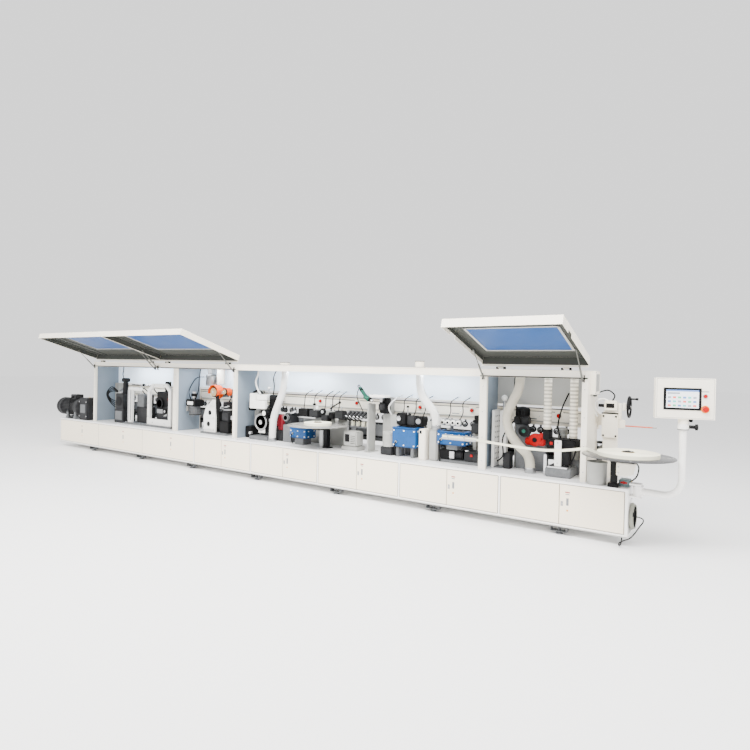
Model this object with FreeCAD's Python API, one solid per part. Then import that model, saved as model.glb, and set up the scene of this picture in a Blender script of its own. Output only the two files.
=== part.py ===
import FreeCAD, Part
import math
import os

from FreeCAD import Vector

# Through-feed edge banding machine, millimetres, +Z up.
# X runs along the machine: panels enter at the +X end and leave at the -X end.
# -Y is the operator's front, where the doors, the lids and the working units are.
# The drawing frame used below has X = 0 at the right end of the base, Y = 0 on the
# door faces and Z = 0 on the floor. Everything is moved once, at the end, so that the
# origin is the centre of the machine's footprint.

# ---- driving dimensions -------------------------------------------------------------
BASE_LEFT = -10180.0
BASE_STEP_X = -150.0          # the rear part of the base stops short of the right end
BASE_STEP_Y = 280.0
BASE_BACK = 950.0
SKIRT_BOTTOM = 90.0
DECK_TOP = 547.0
DECK_THICK = 12.0
DOOR_BOTTOM = 124.0
DOOR_TOP = 514.0
DOOR_THICK = 20.0
DOOR_GAP = 3.0
DOOR_PIN_INSET = 6.0
DOOR_PIN_R = 3.0
DOOR_PIN_LENGTH = 12.0
MODULE_RIGHT = -33.0          # right edge of the first pair of leaves
MODULE_PITCH = 1235.0
MODULE_WIDTH = 1200.0
MODULES = 5
RIGHT_LEAF = 592.0
WIDE_PANELS = 3
FRAME_POST_DEPTH = 40.0

HOOD_FRONT = 106.0
HOOD_BACK = 581.0
HOOD_TOP = 1650.0
HOOD_BEAM_BOTTOM = 1564.0
HOOD_POST_DEPTH = 40.0
HOOD_WALL = 30.0
HOOD_SHEET = 10.0
BACK_WALL_BOTTOM = 1255.0
LEFT_HOOD = (-9213.0, -5400.0)
LEFT_PARTITION = (-6870.0, -6786.0)
RIGHT_HOOD = (-1539.0, -404.0)

LID_PIVOT_Y = 140.0
LID_PIVOT_Z = 1668.0
LID_TOP_FACE = 124.0          # from the pivot to the lid's front skin when it is closed
LID_LENGTH = 1085.0
LID_FLANGE = 84.0
LID_SHEET = 4.0
LID_OPEN_DEG = 107.5
LID_SPANS = ((-9211.0, -7303.0), (-7299.0, -5402.0), (-1537.0, -406.0))
WINDOW_SPANS = ((-8662.0, -7540.0), (-6955.0, -5640.0), (-1392.0, -523.0))
WINDOW_HEIGHTS = ((350.0, 930.0), (325.0, 932.0), (240.0, 838.0))
TAPE_SLOT = (760.0, 880.0)      # notch in the last lid's end plates, down from its pivot
TAPE_SLOT_DEPTH = 34.0
WINDOW_THICK = 5.0
HINGE_PIN_R = 4.0
HINGE_FIT = 0.05
HINGE_RING_R = 9.0
HINGE_INSET = 220.0

STRUT_FOOT_Y = 94.0
STRUT_FOOT_Z = 1545.0
STRUT_REACH = 386.0           # from the lid's pivot to the strut's upper eye
STRUT_EYE_DEG = 153.5         # direction of that eye from the pivot, lid open
STRUT_TUBE_R = 10.0
STRUT_ROD_R = 5.0
STRUT_TUBE_LENGTH = 215.0
STRUT_ROD_LENGTH = 230.0
STRUT_INSET = 46.0

BEAM_X = (-9300.0, -400.0)
BEAM_Y = (598.0, 780.0)
BEAM_Z = (1065.0, 1190.0)
BEAM_WALL = 6.0
GUIDE_R = 10.0
GUIDE_Y = 650.0
RUNNING_FIT = 0.05
WHEEL_R = 37.0
WHEEL_Z = 972.0
WHEEL_WIDTH = 26.0
WHEEL_PITCH = 92.0
CHAIN_X = (-9470.0, -330.0)   # sprocket centres
CHAIN_Y = (615.0, 695.0)
CHAIN_TOP = 900.0
CHAIN_AXIS_Z = 800.0
CHAIN_THICK = 24.0
COLUMN_Y = (500.0, 590.0)
COLUMN_SPANS = ((-9160.0, -9040.0), (-7000.0, -6880.0), (-5395.0, -5295.0),
                (-3040.0, -2925.0), (-1640.0, -1545.0))

ESTOP_X = (-4170.0, -3528.0, -2539.0, -1832.0, -804.0)
ESTOP_Z = 1147.0
ESTOP_HEAD_R = 20.0
ESTOP_STEM_R = 8.0
ESTOP_TRAVEL = 6.0

MID_REEL = (-3825.0, 115.0, 862.0)      # centre of the disc's upper face
MID_REEL_R = 408.0
MID_ROLL_R = 185.0
INFEED_REEL = (-4.0, -40.0, 868.0)
INFEED_REEL_R = 402.0
INFEED_ROLL_R = 268.0
REEL_THICK = 8.0
ROLL_CORE_R = 50.0
TAPE_WIDTH = 34.0
TAPE_THICK = 2.0

ARM_PIVOT = (70.0, 110.0)
ARM_Z = 528.0
ARM_R = 30.0
ARM_POST = (430.0, 40.0)
ARM_TOP = 1190.0
ARM_BEND = 150.0
PANEL_WIDTH = 470.0
PANEL_HEIGHT = 362.0
PANEL_DEPTH = 110.0
PANEL_TURN = 15.0             # the panel's face looks this far round towards +X
PANEL_Z = 1236.0
SCREEN_SIZE = (300.0, 196.0, 6.0)

WHEEL_CENTRE = (-98.0, 600.0, 1283.0)
HANDWHEEL_R = 115.0

HOSE_R = 52.0
CABLE_R = 5.5

nodes = {}


# ---- helpers ------------------------------------------------------------------------
def box(x0, x1, y0, y1, z0, z1):
    """A box between two corners."""
    return Part.makeBox(x1 - x0, y1 - y0, z1 - z0, Vector(x0, y0, z0))


def rod(start, end, radius):
    """A round bar from one point to another."""
    a = Vector(*start)
    b = Vector(*end)
    return Part.makeCylinder(radius, a.distanceToPoint(b), a, b - a)


def ring(start, end, outer, inner):
    """A round tube from one point to another."""
    return rod(start, end, outer).cut(rod(start, end, inner))


def prism_xz(points, y0, y1):
    """A plate with the outline points (x, z), from y0 to y1."""
    outline = [Vector(x, y0, z) for x, z in points]
    face = Part.Face(Part.makePolygon(outline + outline[:1]))
    return face.extrude(Vector(0, y1 - y0, 0))


def prism_xy(points, z0, z1):
    """A plate with the outline points (x, y), from z0 to z1."""
    outline = [Vector(x, y, z0) for x, y in points]
    face = Part.Face(Part.makePolygon(outline + outline[:1]))
    return face.extrude(Vector(0, 0, z1 - z0))


def prism_yz(points, x0, x1):
    """A plate with the outline points (y, z), from x0 to x1."""
    outline = [Vector(x0, y, z) for y, z in points]
    face = Part.Face(Part.makePolygon(outline + outline[:1]))
    return face.extrude(Vector(x1 - x0, 0, 0))


def group(*shapes):
    """Separate solids that share one node."""
    flat = []
    for shape in shapes:
        flat.extend(shape if isinstance(shape, (list, tuple)) else [shape])
    return flat[0] if len(flat) == 1 else Part.makeCompound(flat)


def tube_route(points, radius, name):
    """A tube along straight runs joined by tangent arcs, as large as the runs allow."""
    route = [Vector(*p) for p in points]
    runs = [route[i + 1] - route[i] for i in range(len(route) - 1)]
    edges = []
    start = route[0]
    radii = []
    for i in range(1, len(route) - 1):
        before = Vector(runs[i - 1])
        after = Vector(runs[i])
        shorter = min(before.Length, after.Length)
        before.normalize()
        after.normalize()
        turn = before.getAngle(after)
        cut_back = 0.45 * shorter
        radii.append(cut_back / math.tan(turn / 2.0))
        arc_start = route[i] - before * cut_back
        arc_end = route[i] + after * cut_back
        towards = (after - before)
        towards.normalize()
        centre = route[i] + towards * (cut_back / math.sin(turn / 2.0))
        middle = centre - towards * radii[-1]
        edges.append(Part.LineSegment(start, arc_start).toShape())
        edges.append(Part.Arc(arc_start, middle, arc_end).toShape())
        start = arc_end
    edges.append(Part.LineSegment(start, route[-1]).toShape())
    path = Part.Wire(edges)
    first = Vector(runs[0])
    first.normalize()
    section = Part.Wire(Part.makeCircle(radius, route[0], first))
    tube = path.makePipeShell([section], True, False)
    expected = math.pi * radius ** 2 * path.Length
    print("%s length %.0f radii %s volume ratio %.4f" % (
        name, path.Length, ["%.0f" % r for r in radii], tube.Volume / expected))
    return tube


# ---- base ---------------------------------------------------------------------------
def module_edges(index):
    """Left edge, split and right edge of one pair of leaves, from the right end."""
    right = MODULE_RIGHT - MODULE_PITCH * index
    return right - MODULE_WIDTH, right - RIGHT_LEAF, right


def wide_panel_edges(index):
    """Left and right edge of one of the wide cover panels at the left end."""
    right_most = MODULE_RIGHT - MODULE_PITCH * MODULES
    left_most = BASE_LEFT + 18.0
    width = (right_most - left_most) / WIDE_PANELS
    right = right_most - width * index
    return right - width, right


def make_base():
    left_end, _, _ = module_edges(MODULES - 1)
    rails = [
        box(BASE_LEFT, 0, 0, FRAME_POST_DEPTH, SKIRT_BOTTOM, DOOR_BOTTOM - DOOR_GAP),
        box(BASE_LEFT, 0, 0, FRAME_POST_DEPTH, DOOR_TOP + DOOR_GAP, DECK_TOP - DECK_THICK),
        box(BASE_LEFT, BASE_STEP_X, BASE_BACK - FRAME_POST_DEPTH, BASE_BACK,
            SKIRT_BOTTOM, DOOR_BOTTOM),
        box(BASE_LEFT, BASE_STEP_X, BASE_BACK - FRAME_POST_DEPTH, BASE_BACK,
            DOOR_TOP, DECK_TOP - DECK_THICK),
        box(BASE_LEFT + 30.0, BASE_STEP_X, FRAME_POST_DEPTH, BASE_BACK - FRAME_POST_DEPTH,
            SKIRT_BOTTOM, SKIRT_BOTTOM + DECK_THICK),
    ]
    low = DOOR_BOTTOM - DOOR_GAP
    high = DOOR_TOP + DOOR_GAP
    posts = [
        box(MODULE_RIGHT + DOOR_GAP, 0, 0, FRAME_POST_DEPTH, low, high),
        box(BASE_LEFT, BASE_LEFT + 18.0 - DOOR_GAP, 0, FRAME_POST_DEPTH, low, high),
    ]
    for index in range(MODULES):
        left, _, _ = module_edges(index)
        next_right = MODULE_RIGHT - MODULE_PITCH * (index + 1)
        posts.append(box(next_right + DOOR_GAP, left - DOOR_GAP,
                         0, FRAME_POST_DEPTH, low, high))
    for index in range(MODULES):
        x = module_edges(index)[2] - DOOR_PIN_INSET
        posts.append(rod((x, DOOR_PIN_INSET, low), (x, DOOR_PIN_INSET, low + DOOR_PIN_LENGTH),
                         DOOR_PIN_R))
        posts.append(rod((x, DOOR_PIN_INSET, high - DOOR_PIN_LENGTH), (x, DOOR_PIN_INSET, high),
                         DOOR_PIN_R))
    floor = SKIRT_BOTTOM + DECK_THICK
    under = DECK_TOP - DECK_THICK
    inner_back = BASE_BACK - FRAME_POST_DEPTH
    walls = [
        box(-6.0, 0, FRAME_POST_DEPTH, BASE_STEP_Y, SKIRT_BOTTOM, under),
        box(BASE_STEP_X, -6.0, BASE_STEP_Y - 6.0, BASE_STEP_Y, SKIRT_BOTTOM, under),
        box(BASE_STEP_X - 6.0, BASE_STEP_X, BASE_STEP_Y, inner_back, floor, under),
        box(BASE_LEFT, BASE_LEFT + 6.0, FRAME_POST_DEPTH, inner_back, floor, under),
        box(BASE_LEFT, BASE_STEP_X, BASE_BACK - 6.0, BASE_BACK, DOOR_BOTTOM, DOOR_TOP),
    ]
    for index in range(MODULES):
        left, _, _ = module_edges(index)
        middle = left - (MODULE_PITCH - MODULE_WIDTH) / 2.0
        walls.append(box(middle - 4.0, middle + 4.0, FRAME_POST_DEPTH, inner_back, floor, under))
    nodes["base_frame"] = group(rails, posts, walls)
    nodes["table_plate"] = group(
        box(BASE_LEFT, BASE_STEP_X, 0, BASE_BACK, DECK_TOP - DECK_THICK, DECK_TOP),
        box(BASE_STEP_X, 0, 0, BASE_STEP_Y, DECK_TOP - DECK_THICK, DECK_TOP))


def make_doors():
    covers = []
    for index in range(MODULES):
        left, split, right = module_edges(index)
        covers.append(box(left, split - DOOR_GAP / 2.0, 0, DOOR_THICK, DOOR_BOTTOM, DOOR_TOP))
        leaf = box(split + DOOR_GAP / 2.0, right, 0, DOOR_THICK, DOOR_BOTTOM, DOOR_TOP)
        x = right - DOOR_PIN_INSET
        for z in (DOOR_BOTTOM, DOOR_TOP):
            leaf = leaf.cut(rod((x, DOOR_PIN_INSET, z - DOOR_PIN_LENGTH),
                                (x, DOOR_PIN_INSET, z + DOOR_PIN_LENGTH), DOOR_PIN_R + RUNNING_FIT))
        nodes["door_%d" % (index + 1)] = leaf
    for index in range(WIDE_PANELS):
        left, right = wide_panel_edges(index)
        covers.append(box(left + DOOR_GAP / 2.0, right - DOOR_GAP / 2.0,
                          0, DOOR_THICK, DOOR_BOTTOM, DOOR_TOP))
    nodes["fixed_covers"] = group(covers)


def foot(x, y):
    """A U-shaped foot bracket with a levelling screw through its lower plate."""
    half = 80.0
    plates = [
        box(x - half, x + half, y - 40.0, y + 40.0, SKIRT_BOTTOM - 6.0, SKIRT_BOTTOM),
        box(x - half, x - half + 6.0, y - 40.0, y + 40.0, 34.0, SKIRT_BOTTOM - 6.0),
        box(x + half - 6.0, x + half, y - 40.0, y + 40.0, 34.0, SKIRT_BOTTOM - 6.0),
    ]
    shelf = box(x - half, x + half, y - 40.0, y + 40.0, 28.0, 34.0)
    plates.append(shelf.cut(rod((x, y, 20.0), (x, y, 40.0), 12.0)))
    screw = [rod((x, y, 12.0), (x, y, 78.0), 12.0), rod((x, y, 0.0), (x, y, 12.0), 35.0)]
    return plates + screw


def make_feet():
    feet = []
    for x in (-9125.0, -7660.0, -6330.0, -4900.0, -3460.0, -2060.0, -640.0):
        feet.extend(foot(x, 80.0))
        feet.extend(foot(x, BASE_BACK - 80.0))
    nodes["levelling_feet"] = group(feet)


# ---- hood ---------------------------------------------------------------------------
def hood_bay(left, right):
    """Roof, front beam and upper back wall between two side walls."""
    back = HOOD_BACK + HOOD_SHEET
    return [
        box(left, right, HOOD_FRONT, HOOD_FRONT + HOOD_POST_DEPTH, HOOD_BEAM_BOTTOM, HOOD_TOP),
        box(left, right, HOOD_FRONT + HOOD_POST_DEPTH, back, HOOD_TOP - HOOD_SHEET, HOOD_TOP),
        box(left, right, HOOD_BACK, back, BACK_WALL_BOTTOM, HOOD_TOP - HOOD_SHEET),
    ]


def hood_wall(x0, x1, post_left, post_right):
    """A side wall with a wider folded post along its front edge."""
    return [
        box(post_left, post_right, HOOD_FRONT, HOOD_FRONT + HOOD_POST_DEPTH,
            DECK_TOP, HOOD_TOP),
        box(x0, x1, HOOD_FRONT + HOOD_POST_DEPTH, HOOD_BACK + HOOD_SHEET,
            DECK_TOP, HOOD_TOP),
    ]


def make_hoods():
    left, right = LEFT_HOOD
    part_left, part_right = LEFT_PARTITION
    shell = hood_wall(left, left + HOOD_WALL, left, left + 50.0)
    shell += hood_wall(part_right - HOOD_WALL, part_right, part_left, part_right)
    shell += hood_wall(right - HOOD_WALL, right, right - 56.0, right)
    shell += [
        box(left + 50.0, part_left, HOOD_FRONT, HOOD_FRONT + HOOD_POST_DEPTH,
            HOOD_BEAM_BOTTOM, HOOD_TOP),
        box(part_right, right - 56.0, HOOD_FRONT, HOOD_FRONT + HOOD_POST_DEPTH,
            HOOD_BEAM_BOTTOM, HOOD_TOP),
    ]
    back = HOOD_BACK + HOOD_SHEET
    for x0, x1 in ((left + HOOD_WALL, part_right - HOOD_WALL),
                   (part_right, right - HOOD_WALL)):
        shell.append(box(x0, x1, HOOD_FRONT + HOOD_POST_DEPTH, back,
                         HOOD_TOP - HOOD_SHEET, HOOD_TOP))
        shell.append(box(x0, x1, HOOD_BACK, back, BACK_WALL_BOTTOM, HOOD_TOP - HOOD_SHEET))
    under_roof = HOOD_TOP - HOOD_SHEET
    shell.append(upright_pipe(-6155.0, 480.0, 1330.0, under_roof, 62.0))
    nodes["hood_left"] = group(shell)

    nodes["hood_middle"] = group(
        hood_bay(LEFT_HOOD[1], RIGHT_HOOD[0]),
        upright_pipe(-4600.0, 300.0, 1590.0, under_roof, 60.0),
        upright_pipe(-4600.0, 300.0, HOOD_TOP, HOOD_TOP + 45.0, 70.0),
        upright_pipe(-2430.0, 350.0, 1590.0, under_roof, 60.0),
        upright_pipe(-2430.0, 350.0, HOOD_TOP, HOOD_TOP + 85.0, 55.0))

    left, right = RIGHT_HOOD
    shell = hood_wall(left, left + HOOD_WALL, left, left + 80.0)
    shell += hood_wall(right - HOOD_WALL, right, right - 56.0, right)
    shell.append(box(left + 80.0, right - 56.0, HOOD_FRONT, HOOD_FRONT + HOOD_POST_DEPTH,
                     HOOD_BEAM_BOTTOM, HOOD_TOP))
    inner = (left + HOOD_WALL, right - HOOD_WALL)
    shell.append(box(inner[0], inner[1], HOOD_FRONT + HOOD_POST_DEPTH, back,
                     HOOD_TOP - HOOD_SHEET, HOOD_TOP))
    shell.append(box(inner[0], inner[1], HOOD_BACK, back,
                     BACK_WALL_BOTTOM, HOOD_TOP - HOOD_SHEET))
    shell.append(box(right, right + 46.0, 230.0, 450.0, 1410.0, HOOD_TOP - 6.0))
    shell.append(upright_pipe(-1150.0, 300.0, 1590.0, under_roof, 60.0))
    shell.append(upright_pipe(-860.0, 350.0, 1010.0, under_roof, 40.0))
    shell.append(upright_pipe(-590.0, 350.0, 935.0, under_roof, 40.0))
    nodes["hood_right"] = group(shell)


# ---- lids ---------------------------------------------------------------------------
def lid_frame():
    """Unit vectors of the open lid: along it, and out of its skin."""
    slope = math.radians(LID_OPEN_DEG - 90.0)
    along = Vector(0, -math.cos(slope), math.sin(slope))
    outward = Vector(0, math.sin(slope), math.cos(slope))
    return along, outward


def lid_point(u, n):
    """(y, z) of a point u along the open lid and n out from the plane of its pivot."""
    along, outward = lid_frame()
    return (LID_PIVOT_Y + along.y * u + outward.y * n,
            LID_PIVOT_Z + along.z * u + outward.z * n)


def lid_slab(x0, x1, u0, u1, n0, n1):
    """A flat slab of the open lid."""
    corners = [lid_point(u0, n0), lid_point(u1, n0), lid_point(u1, n1), lid_point(u0, n1)]
    return prism_yz(corners, x0, x1)


def lid_end_plate(x0, x1, notched):
    """An end plate of the lid; the last lid's plates are notched for the tape."""
    t = LID_SHEET
    skin = LID_TOP_FACE - t
    rim = LID_TOP_FACE - LID_FLANGE
    if not notched:
        return [lid_slab(x0, x1, t, LID_LENGTH - t, rim, skin)]
    low, high = TAPE_SLOT
    return [
        lid_slab(x0, x1, t, low, rim, skin),
        lid_slab(x0, x1, low, high, rim + TAPE_SLOT_DEPTH, skin),
        lid_slab(x0, x1, high, LID_LENGTH - t, rim, skin),
    ]


def make_lid(number, x0, x1):
    t = LID_SHEET
    skin = LID_TOP_FACE
    rim = LID_TOP_FACE - LID_FLANGE
    win_x0, win_x1 = WINDOW_SPANS[number - 1]
    win_u0, win_u1 = WINDOW_HEIGHTS[number - 1]
    slabs = [
        lid_slab(x0, x1, 0, win_u0, skin - t, skin),
        lid_slab(x0, x1, win_u1, LID_LENGTH, skin - t, skin),
        lid_slab(x0, win_x0, win_u0, win_u1, skin - t, skin),
        lid_slab(win_x1, x1, win_u0, win_u1, skin - t, skin),
        lid_slab(x0, x1, LID_LENGTH - t, LID_LENGTH, rim, skin - t),
        lid_slab(x0, x1, 0, t, 14.0, skin - t),
    ]
    notched = number == len(LID_SPANS)
    slabs += lid_end_plate(x0, x0 + t, notched)
    slabs += lid_end_plate(x1 - t, x1, notched)
    pane = lid_slab(win_x0 - 20.0, win_x1 + 20.0, win_u0 - 20.0, win_u1 + 20.0,
                    skin - t - WINDOW_THICK, skin - t)
    for x in (x0 + HINGE_INSET, x1 - HINGE_INSET):
        eye = ring((x - 30.0, LID_PIVOT_Y, LID_PIVOT_Z), (x + 30.0, LID_PIVOT_Y, LID_PIVOT_Z),
                   HINGE_RING_R, HINGE_PIN_R + HINGE_FIT)
        leaf = lid_slab(x - 30.0, x + 30.0, 0.0, t, HINGE_RING_R - 1.5, 14.0)
        slabs.append(eye.fuse(leaf).removeSplitter())
    nodes["lid_%d" % number] = group(slabs)
    nodes["lid_window_%d" % number] = pane


def strut_eye():
    """(y, z) of the strut's upper eye with the lid open."""
    angle = math.radians(STRUT_EYE_DEG)
    return (LID_PIVOT_Y + STRUT_REACH * math.cos(angle),
            LID_PIVOT_Z + STRUT_REACH * math.sin(angle))


def make_struts(number, x0, x1):
    foot_point = Vector(0, STRUT_FOOT_Y, STRUT_FOOT_Z)
    eye_y, eye_z = strut_eye()
    eye = Vector(0, eye_y, eye_z)
    along = eye - foot_point
    length = along.Length
    along.normalize()
    tubes = []
    rods = []
    for x in (x0 + STRUT_INSET, x1 - STRUT_INSET):
        side = Vector(x, 0, 0)
        start = foot_point + side
        cup_start = start + along * 14.0
        tube_end = start + along * STRUT_TUBE_LENGTH
        eye_low = ring(start - Vector(6.5, 0, 0), start + Vector(6.5, 0, 0), 9.0, 5.05)
        neck = rod(start + along * 8.5, cup_start, 5.0)
        body = rod(cup_start, tube_end, STRUT_TUBE_R)
        bore = rod(cup_start + along * 8.0, tube_end, STRUT_ROD_R + 0.08)
        tubes.append(eye_low.fuse([neck, body.cut(bore)]).removeSplitter())
        top = start + along * length
        rod_start = top - along * STRUT_ROD_LENGTH
        bar = rod(rod_start, top - along * 8.0, STRUT_ROD_R)
        eye_high = ring(top - Vector(6.5, 0, 0), top + Vector(6.5, 0, 0), 9.0, 5.6)
        rods.append(eye_high.fuse(bar).removeSplitter())
    nodes["strut_tubes_%d" % number] = group(tubes)
    nodes["strut_rods_%d" % number] = group(rods)


def make_hood_fittings():
    fittings = []
    for x0, x1 in LID_SPANS:
        for x in (x0 + HINGE_INSET, x1 - HINGE_INSET):
            pin = rod((x - 52.0, LID_PIVOT_Y, LID_PIVOT_Z), (x + 52.0, LID_PIVOT_Y, LID_PIVOT_Z),
                      HINGE_PIN_R)
            cheeks = [box(x - 50.0, x - 31.0, LID_PIVOT_Y - 8.0, LID_PIVOT_Y + 30.0,
                          HOOD_TOP, LID_PIVOT_Z + 8.0),
                      box(x + 31.0, x + 50.0, LID_PIVOT_Y - 8.0, LID_PIVOT_Y + 30.0,
                          HOOD_TOP, LID_PIVOT_Z + 8.0)]
            fittings.append(pin.fuse(cheeks).removeSplitter())
        for x, side in ((x0 + STRUT_INSET, -1.0), (x1 - STRUT_INSET, 1.0)):
            pin = rod((x - side * 8.0, STRUT_FOOT_Y, STRUT_FOOT_Z),
                      (x + side * 15.0, STRUT_FOOT_Y, STRUT_FOOT_Z), 5.0)
            plate_x = x + side * 15.0
            plate = box(plate_x - 3.5, plate_x + 3.5, STRUT_FOOT_Y - 9.0, HOOD_FRONT,
                        STRUT_FOOT_Z - 14.0, HOOD_BEAM_BOTTOM + 40.0)
            fittings.append(pin.fuse(plate).removeSplitter())
    nodes["hood_fittings"] = group(fittings)


# ---- pressure beam, chain -------------------------------------------------------------
def make_beam():
    x0, x1 = BEAM_X
    y0, y1 = BEAM_Y
    z0, z1 = BEAM_Z
    t = BEAM_WALL
    face = box(x0, x1, y0, y0 + t, z0, z1)
    for x in ESTOP_X:
        face = face.cut(rod((x, y0 - 1.0, ESTOP_Z), (x, y0 + 40.0, ESTOP_Z),
                            ESTOP_STEM_R + RUNNING_FIT))
    top_plate = box(x0, x1, y0 + t, y1 - t, z1 - t, z1)
    upper = box(x0, x1, y0 + 22.0, y0 + 34.0, z1, z1 + 20.0)
    for left, right in COLUMN_SPANS:
        x = (left + right) / 2.0
        top_plate = top_plate.cut(rod((x, GUIDE_Y, z0), (x, GUIDE_Y, z1 + 80.0),
                                      GUIDE_R + RUNNING_FIT))
    bottom_plate = box(x0, x1, y0 + t, y1 - t, z0, z0 + t)
    back = box(x0, x1, y1 - t, y1, z0, z1)
    lower = box(x0, x1, y0 + 14.0, y0 + 100.0, z0 - 33.0, z0)
    rails = box(x1, -262.0, y0 + 10.0, y0 + 40.0, z0 + 60.0, z1)
    rails_low = box(x1, -262.0, y0 + 10.0, y0 + 40.0, z0 + 10.0, z0 + 50.0)
    nodes["pressure_beam"] = group(face, top_plate, bottom_plate, back, upper, lower,
                                   rails, rails_low)

    wheels = []
    top = z0 - 33.0
    count = int((x1 - x0 - 2 * WHEEL_PITCH) / WHEEL_PITCH)
    for index in range(count):
        x = x0 + WHEEL_PITCH * (index + 1.0)
        y = y0 + (28.0 if index % 2 else 62.0)
        wheels.append(rod((x, y, WHEEL_Z), (x, y + WHEEL_WIDTH, WHEEL_Z), WHEEL_R))
        wheels.append(box(x - 12.0, x + 12.0, y + WHEEL_WIDTH, y + WHEEL_WIDTH + 8.0,
                          WHEEL_Z - 8.0, top))
    nodes["pressure_wheels"] = group(wheels)

    columns = []
    for left, right in COLUMN_SPANS:
        top_z = BACK_WALL_BOTTOM - 14.0
        x = (left + right) / 2.0
        columns.append(box(left, right, COLUMN_Y[0], COLUMN_Y[1], DECK_TOP, top_z))
        columns.append(box(left, right, COLUMN_Y[0], GUIDE_Y + 24.0, top_z, top_z + 12.0))
        columns.append(rod((x, GUIDE_Y, BEAM_Z[0] + 45.0), (x, GUIDE_Y, top_z), GUIDE_R))
    nodes["beam_columns"] = group(columns)


def make_estops():
    for index, x in enumerate(ESTOP_X):
        face = BEAM_Y[0]
        collar = face - 8.0
        head = rod((x, collar - ESTOP_TRAVEL - 16.0, ESTOP_Z), (x, collar - ESTOP_TRAVEL, ESTOP_Z),
                   ESTOP_HEAD_R)
        stem = rod((x, collar - ESTOP_TRAVEL, ESTOP_Z), (x, face + 25.0, ESTOP_Z), ESTOP_STEM_R)
        nodes["estop_button_%d" % (index + 1)] = head.fuse(stem).removeSplitter()


def make_conveyor():
    x0, x1 = CHAIN_X
    y0, y1 = CHAIN_Y
    outer = CHAIN_TOP - CHAIN_AXIS_Z
    inner = outer - CHAIN_THICK
    bottom = CHAIN_AXIS_Z - outer
    left_end = ring((x0, y0, CHAIN_AXIS_Z), (x0, y1, CHAIN_AXIS_Z), outer, inner)
    left_end = left_end.cut(box(x0, x0 + 200.0, y0 - 1.0, y1 + 1.0, bottom - 1.0, CHAIN_TOP + 1.0))
    right_end = ring((x1, y0, CHAIN_AXIS_Z), (x1, y1, CHAIN_AXIS_Z), outer, inner)
    right_end = right_end.cut(box(x1 - 200.0, x1, y0 - 1.0, y1 + 1.0, bottom - 1.0, CHAIN_TOP + 1.0))
    nodes["feed_chain"] = group(
        box(x0, x1, y0, y1, CHAIN_TOP - CHAIN_THICK, CHAIN_TOP),
        box(x0, x1, y0, y1, bottom, bottom + CHAIN_THICK),
        left_end, right_end)
    track = [
        box(x0 + 110.0, x1 - 90.0, y0 + 6.0, y1 - 6.0, CHAIN_AXIS_Z + 20.0, CHAIN_TOP - CHAIN_THICK),
        box(x0 + 110.0, x1 - 90.0, y0 + 6.0, y1 - 6.0, bottom + CHAIN_THICK + 2.0,
            CHAIN_AXIS_Z + 20.0),
        box(x0 + 110.0, x1 - 90.0, y1 + 6.0, y1 + 40.0, 640.0, 860.0),
    ]
    for index in range(12):
        x = x0 + 160.0 + index * 780.0
        track.append(box(x, x + 60.0, y1 - 6.0, y1 + 6.0, CHAIN_AXIS_Z - 40.0, CHAIN_AXIS_Z + 40.0))
        track.append(box(x, x + 60.0, y1 + 10.0, y1 + 40.0, DECK_TOP, 640.0))
    track.append(rod((x1, y0 + 4.0, CHAIN_AXIS_Z), (x1, y1 + 6.0, CHAIN_AXIS_Z), inner - 1.5))
    track.append(box(x1 - 90.0, x1 + 20.0, y1 + 6.0, y1 + 30.0, CHAIN_AXIS_Z - 40.0,
                     CHAIN_AXIS_Z + 40.0))
    nodes["chain_track"] = group(track)
    shaft = rod((x0, 322.0, CHAIN_AXIS_Z), (x0, y1 + 10.0, CHAIN_AXIS_Z), 18.0)
    sprocket = rod((x0, y0 + 4.0, CHAIN_AXIS_Z), (x0, y1 - 4.0, CHAIN_AXIS_Z), inner - 1.5)
    return shaft.fuse(sprocket).removeSplitter()


def make_drive_motor(sprocket):
    y = 175.0
    z = 770.0
    body = [
        sprocket,
        rod((-10080.0, y, z), (-9700.0, y, z), 170.0),
        rod((-10390.0, y, z), (-10080.0, y, z), 158.0),
        rod((-9700.0, y, z), (-9620.0, y, z), 186.0),
        box(-10010.0, -9810.0, y - 75.0, y + 75.0, z + 166.0, z + 240.0).cut(
            rod((-10080.0, y, z), (-9700.0, y, z), 170.5)),
        box(-10060.0, -9980.0, y - 140.0, y + 140.0, DECK_TOP, z - 110.0).cut(
            rod((-10080.0, y, z), (-9700.0, y, z), 170.5)),
        box(-9790.0, -9710.0, y - 140.0, y + 140.0, DECK_TOP, z - 110.0).cut(
            rod((-10080.0, y, z), (-9700.0, y, z), 170.5)),
        box(-9620.0, -9330.0, 50.0, 320.0, DECK_TOP, 960.0),
    ]
    nodes["drive_motor"] = group(body)


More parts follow.
